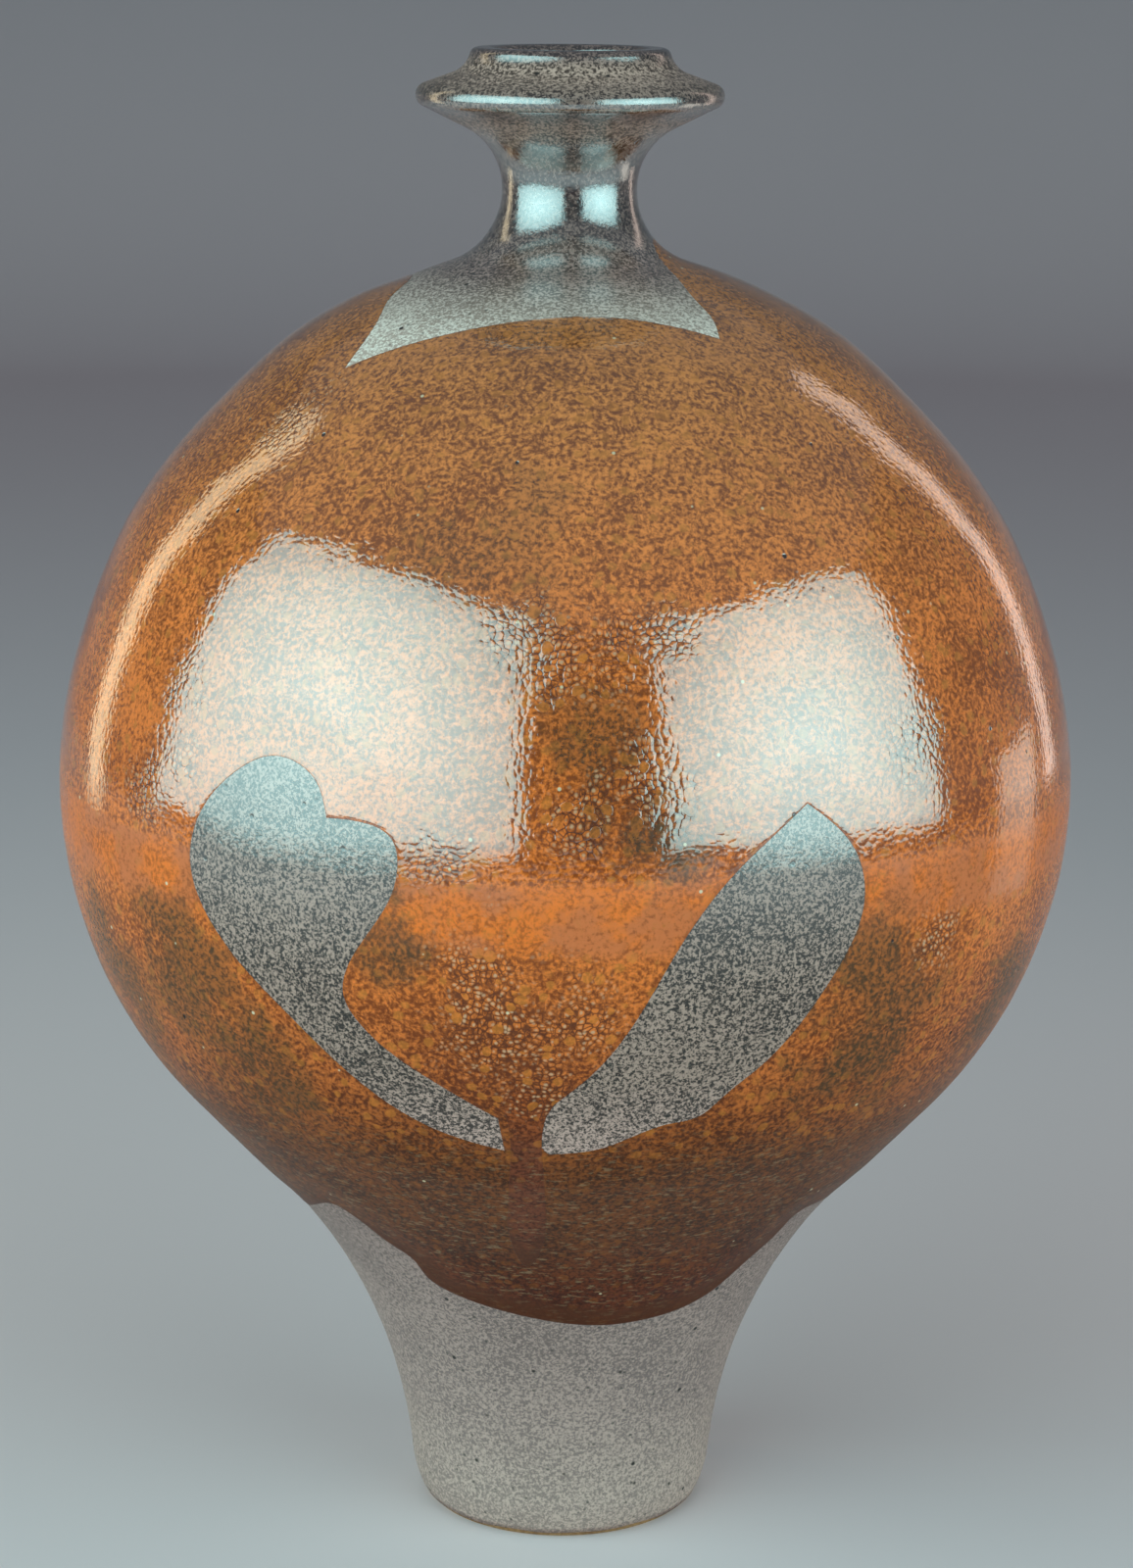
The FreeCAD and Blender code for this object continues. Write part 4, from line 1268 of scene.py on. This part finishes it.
    def make(self) -> bpy.types.Material:
        """The amber: cells, spots, pools and flecks, each in its own zone, and the stained rim.

        Returns:
            The material.
        """
        mix = self.start()
        slow = (self.drift, self.stir, self.pool, self.skin)
        drift, stir, pool, skin = (mix.noise(mix.place, clouds) for clouds in slow)
        centred = mix.add("VectorMath", {0: (drift[0], "Color"), 1: (-0.5,) * 3}, operation="ADD")
        push = {0: centred, 1: (self.push_mm,) * 3, 2: mix.place}
        warped = mix.add("VectorMath", push, operation="MULTIPLY_ADD")
        grain = mix.noise(warped, self.grain)
        cells = (mix.cells(warped, self.cell_mm, self.cell_loose), "Distance")
        joins = (mix.cells(warped, self.cell_mm, self.cell_loose, "DISTANCE_TO_EDGE"), "Distance")
        wavy = mix.sum_of((mix.height, 1.0), (drift, 0.008), (stir, 0.014), (pool, 0.014))
        low = mix.between(wavy, self.low_z)

        # The ground: a fine mottle of deep and bright amber, with round spots where bubbles healed.
        mottle = mix.sum_of((grain, 1.0), (stir, 0.35), (pool, 0.25))
        share = mix.mask(mottle, *self.mottle_span)
        colour = mix.blend(share, mix.by_height(self.deep_stops), mix.by_height(self.glow_stops))
        spot = mix.times(mix.dots(warped, self.spot), mix.mask(low, 0, 1, to=(1.0, 0.25)))
        colour = mix.blend(mix.times(spot, 0.5), colour, self.spot_colour)

        # Olive pools, where the grey shows through thin amber. The same zones also carry painted shade that
        # darkens the belly's sides, and a painted dark reflection high on the shoulder.
        olive_and_shade = self.near(mix, stir, self.olive_and_shade_zones)
        thin = mix.between(mix.height, self.thin_z, to=(1.0, 0.5))
        shade = mix.times(olive_and_shade, thin, mix.mask(mottle, 0.6, 1.0, to=(0.9, 0.55)))
        colour = mix.blend(shade, colour, self.olive_and_shade_colour)

        # Foam: small pale eyes in a net of dark joins. The dark joins are the foam's own colour; the pale
        # eyes are painted highlights that stand in for the softboxes' edges caught in the domed cells.
        froth_and_highlight = self.near(mix, stir, self.froth_and_highlight_zones)
        foam_and_highlight = mix.times(froth_and_highlight, mix.mask(spot, 0, 0.5, to=(1.0, 0.0)))
        net, eye = mix.mask(joins, *self.join_span), mix.mask(cells, *self.eye_highlight_span)
        colour = mix.blend(mix.times(net, foam_and_highlight, 0.9), colour, self.join_colour)
        colour = mix.blend(mix.times(eye, foam_and_highlight, 0.85), colour, self.eye_highlight_colour)

        # The bright band round the belly: a painted reflection of a lit strip, laid into the amber's colour
        # between two heights.
        lit_band = mix.times(mix.between(wavy, self.lit_band_low_z), mix.between(wavy, self.lit_band_high_z))
        lit_band_colour = mix.blend(mix.mask(stir, *self.lit_band_tint_span), self.lit_band_orange, self.lit_band_pink)
        lit_band_share = mix.times(lit_band, mix.mask(mottle, 0.6, 0.95, to=(0.35, 0.88)),
                         mix.mask(olive_and_shade, 0, 1, to=(1.0, 0.3)))
        colour = mix.blend(lit_band_share, colour, lit_band_colour)

        # Pale flecks, drawn out sideways low on the jar.
        flecks = mix.noise(mix.stretched(self.fleck_drawn), self.fleck)
        drawn = mix.times(mix.mask(flecks, *self.fleck_span), low, 0.6)
        colour = mix.blend(drawn, colour, self.fleck_colour)

        # The rim's stain: wide and strong along the lower edge, a thin faint line round the windows.
        distance = mix.add("Attribute", attribute_name="edge_distance")
        spread = mix.between(mix.height, self.rim_z, Tone.STRAIGHT, (0.22, 1.0))
        reach = mix.times(mix.sum_of(((distance, "Fac"), 1.0), (stir, self.stain_stir)), spread)
        stain = mix.times(mix.mask(reach, *self.stain_mm), mix.mask(spread, 0.22, 1, to=(0.75, 0.15)))
        colour = mix.blend(stain, colour, self.rim_colour)

        # Dark pits and pale motes, sparse over all of it.
        pit = mix.dots(mix.place, self.pit)
        colour = mix.blend(pit, colour, self.pit_colour)
        colour = mix.blend(mix.dots(mix.place, self.mote), colour, self.mote_colour)

        # The relief: domed cells, higher in the foam, under a slow orange-peel skin.
        bead = mix.times(cells, cells, mix.mask(foam_and_highlight, 0, 1, to=(1.0, 2.6)))
        domed = mix.between(mix.height, self.domed_z, to=(0.0, -self.dome_mm))
        rise = mix.sum_of((mix.times(bead, domed), 1.0), (skin, 0.05), (grain, 0.005), (pit, -0.12))
        return mix.hand_over({"Base Color": colour, "Roughness": mix.by_height(self.rough_stops),
                              "Coat Weight": mix.by_height(self.gloss_stops)}, rise)


@dataclass(frozen=True)
class RunGlaze(AmberGlaze):
    """The same amber where it ran down between the windows: redder, and without olive pools or their painted
    shade.
    """

    title: str = "iron_amber_run"
    olive_and_shade_zones: tuple = ()
    deep_stops: tuple = ((50, "3d1609"), (106, "4e1f0c"), (119, "6a2b0d"))
    glow_stops: tuple = ((50, "622e1a"), (106, "854226"), (119, "cb6326"))


@dataclass(frozen=True)
class StudioPaper(Finish):
    """Matt background paper: pale, even and without shine, so that only the jar draws the eye."""

    title: str = "studio_paper"
    floor_tint: str = "e8d4d6"
    wall_tint: str = "aba2a9"
    cloud: Clouds = Clouds(400.0, 3.0)
    up_span: tuple = (0.3, 2.2)
    roughness: float = 0.95

    def make(self) -> bpy.types.Material:
        """The paper: pale on the floor, greyer up the wall, with the faintest cloud.

        Returns:
            The material.
        """
        mix = self.start()
        cloud = mix.noise(mix.place, self.cloud)
        up = mix.mask(mix.sum_of((mix.height, 1.0), (cloud, 0.3)), *self.up_span)
        colour = mix.blend(up, self.floor_tint, self.wall_tint)
        return mix.hand_over({"Base Color": colour, "Roughness": self.roughness})


@dataclass(frozen=True)
class Softbox:
    """A flat lamp that hangs upright and faces the jar.

    Its place is in degrees round the jar, distance from the axis and heights above the floor. At its heart,
    a share of its height up, the cloth glows hot times its glow, and it falls off to rim times its glow.
    """

    name: str
    degrees: float
    distance: float
    half_width: float
    low: float
    high: float
    glow: float
    tint: str = "ffffff"
    hot: float = 1.0
    heart: float = 0.4
    fall: float = 0.6
    rim: float = 0.8

    def build(self) -> bpy.types.Object:
        """Hang the lamp upright, facing the jar's axis.

        Returns:
            The lamp's object.
        """
        lamp = bpy.data.lights.new(self.name, "AREA")
        lamp.shape = "RECTANGLE"
        lamp.size = 2 * self.half_width * MM
        lamp.size_y = (self.high - self.low) * MM
        lamp.energy = self.glow * math.pi * lamp.size * lamp.size_y
        lamp.color = linear(self.tint)[:3]
        lamp.use_nodes = True
        tree = lamp.node_tree
        shell = add_node(tree, "NewGeometry")
        centred = add_node(tree, "VectorMath", {0: (shell, "Parametric"), 1: (0.5, self.heart, 0.0)},
                           operation="DISTANCE")
        feeds = {"Value": (centred, "Value"), "From Min": 0.0, "From Max": self.fall,
                 "To Min": self.hot, "To Max": self.rim}
        plug(tree, tree.nodes["Emission"], "Strength", add_node(tree, "MapRange", feeds))
        turn = math.radians(self.degrees)
        spot = Vector((math.sin(turn), -math.cos(turn), 0)) * self.distance
        spot.z = (self.low + self.high) / 2
        body = bpy.data.objects.new(self.name, lamp)
        body.location = spot * MM
        body.rotation_euler = (math.pi / 2, 0, turn)
        body.visible_camera = False
        bpy.context.scene.collection.objects.link(body)
        return body


@dataclass(frozen=True)
class Studio:
    """A round paper studio with a coved wall: two large softboxes in front, two strips and a small card."""

    floor_reach: float = 1900.0
    cove_radius: float = 500.0
    wall_height: float = 1900.0
    inner_share: float = 0.4
    cove_places: int = 17
    segments: int = 128
    room_tint: str = "b4b9c2"
    room_level: float = 0.35
    # Each lamp's name, degrees, distance, half width, low edge, high edge, glow, tint and its heart's heat.
    boxes: tuple = (
        Softbox("left_softbox", -53, 900, 860, 50, 1150, 2.05, "cdffff", 1.75),
        Softbox("right_softbox", 54, 900, 570, 50, 900, 2.1, "cdffff", 1.75),
        Softbox("left_strip", -119, 535, 36, 60, 690, 1.8, "ffeac0"),
        Softbox("right_strip", 128, 525, 30, 80, 680, 1.5, "ffe4d4"),
        Softbox("right_card", 108, 420, 62, 8, 170, 1.1, "fff4e4"),
    )

    def build(self) -> None:
        """Make the paper, hang the lamps and set the dim room above them."""
        bend = np.linspace(-math.pi / 2, 0, self.cove_places)
        reach, cove = self.floor_reach, self.cove_radius
        outline = [(reach * self.inner_share, 0.0)]
        outline += [(reach + cove * math.cos(lean), cove * (1 + math.sin(lean))) for lean in bend]
        outline += [(reach + cove, self.wall_height)]
        angle = np.arange(self.segments) / self.segments * FULL_TURN
        places = np.concatenate([around(r, angle, np.full(self.segments, z)) for r, z in outline])
        faces = [list(range(self.segments))]
        for ring in range(len(outline) - 1):
            faces += band((ring + 1) * self.segments, ring * self.segments, self.segments)
        paper = new_mesh_object("paper_floor", places, faces, {})
        paper.data.materials.append(StudioPaper().make())
        for box in self.boxes:
            box.build()
        world = bpy.data.worlds.new("room")
        world.use_nodes = True
        sky = world.node_tree.nodes["Background"]
        plug(world.node_tree, sky, "Color", self.room_tint)
        plug(world.node_tree, sky, "Strength", self.room_level)
        bpy.context.scene.world = world


@dataclass(frozen=True)
class PhotoCamera:
    """The camera that took the photograph, as fitted to the jar's outline."""

    back: float = 738.3
    height: float = 333.36
    pitch_degrees: float = 13.57
    roll: float = 0.0075
    clip_mm: float = 20.0
    lens_mm: float = 84.14
    sensor_mm: float = 36.0
    shift: float = 0.00094

    def build(self) -> None:
        """Set the camera up and make it the scene's own."""
        camera = bpy.data.cameras.new("photo_camera")
        camera.sensor_fit = "VERTICAL"
        camera.sensor_height = self.sensor_mm
        camera.lens = self.lens_mm
        camera.shift_x = self.shift
        camera.clip_start = self.clip_mm * MM
        body = bpy.data.objects.new("photo_camera", camera)
        aim = Matrix.Rotation(math.pi / 2 - math.radians(self.pitch_degrees), 4, "X")
        place = Matrix.Translation(Vector((0, -self.back, self.height)) * MM)
        body.matrix_world = place @ aim @ Matrix.Rotation(self.roll, 4, "Z")
        bpy.context.scene.collection.objects.link(body)
        bpy.context.scene.camera = body


@dataclass(frozen=True)
class ClaySections:
    """The thrown sections, their slip and coils, and the liner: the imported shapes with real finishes."""

    clay: tuple = ("foot_stem", "lower_bowl", "upper_bowl", "neck_rim", "foot_seam_coil", "belly_seam_coil")
    slip: tuple = ("foot_joint_slip", "belly_joint_slip", "neck_joint_slip")
    liner: tuple = ("liner_glaze",)

    def dress(self) -> None:
        """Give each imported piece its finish."""
        finishes = ((self.clay, BareStoneware()), (self.slip, SlipClay()), (self.liner, LinerGlaze()))
        for names, finish in finishes:
            material = finish.make()
            for name in names:
                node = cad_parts[name]
                node.data.materials.clear()
                node.data.materials.append(material)
                log.info("%s dressed in %s", name, material.name)


def seat(piece: bpy.types.Object, finish: bpy.types.Material, node: str) -> None:
    """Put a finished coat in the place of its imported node.

    Args:
        piece: the coat.
        finish: its material.
        node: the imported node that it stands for.
    """
    piece.data.materials.append(finish)
    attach(piece, "root")
    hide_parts(node)
    log.info("%s made with %d faces", piece.name, len(piece.data.polygons))


def main() -> None:
    """Build the jar's dressed pieces, the studio and the camera, and log each coat's count of faces."""
    logging.basicConfig(level=logging.INFO, format="%(message)s")
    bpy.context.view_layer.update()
    wall, thrown, figure = JarWall(), ThrownSurface(), GlazeFigure()
    wall_map = WallMap(wall, thrown)
    ClaySections().dress()
    seat(GreyCoat(wall, thrown).build(), GreyAshGlaze().make(), "grey_glaze_coat")
    bounds = [(figure.lower_edge(wall_map), True), (figure.patch(wall_map), False)]
    bounds += [(window, False) for window in figure.windows(wall_map)]
    amber = PouredCoat("amber_coat", wall_map, bounds, figure.amber_thickness)
    seat(amber.build(), AmberGlaze(wall_map=wall_map).make(), "amber_glaze_coat")
    run = PouredCoat("amber_run", wall_map, [(figure.run(wall_map), True)], figure.run_thickness,
                     under=amber, spacing=figure.run_spacing)
    seat(run.build(), RunGlaze(wall_map=wall_map).make(), "amber_glaze_run")
    Studio().build()
    PhotoCamera().build()
    bpy.context.scene.view_settings.view_transform = "Standard"


if __name__ == "__main__":
    main()
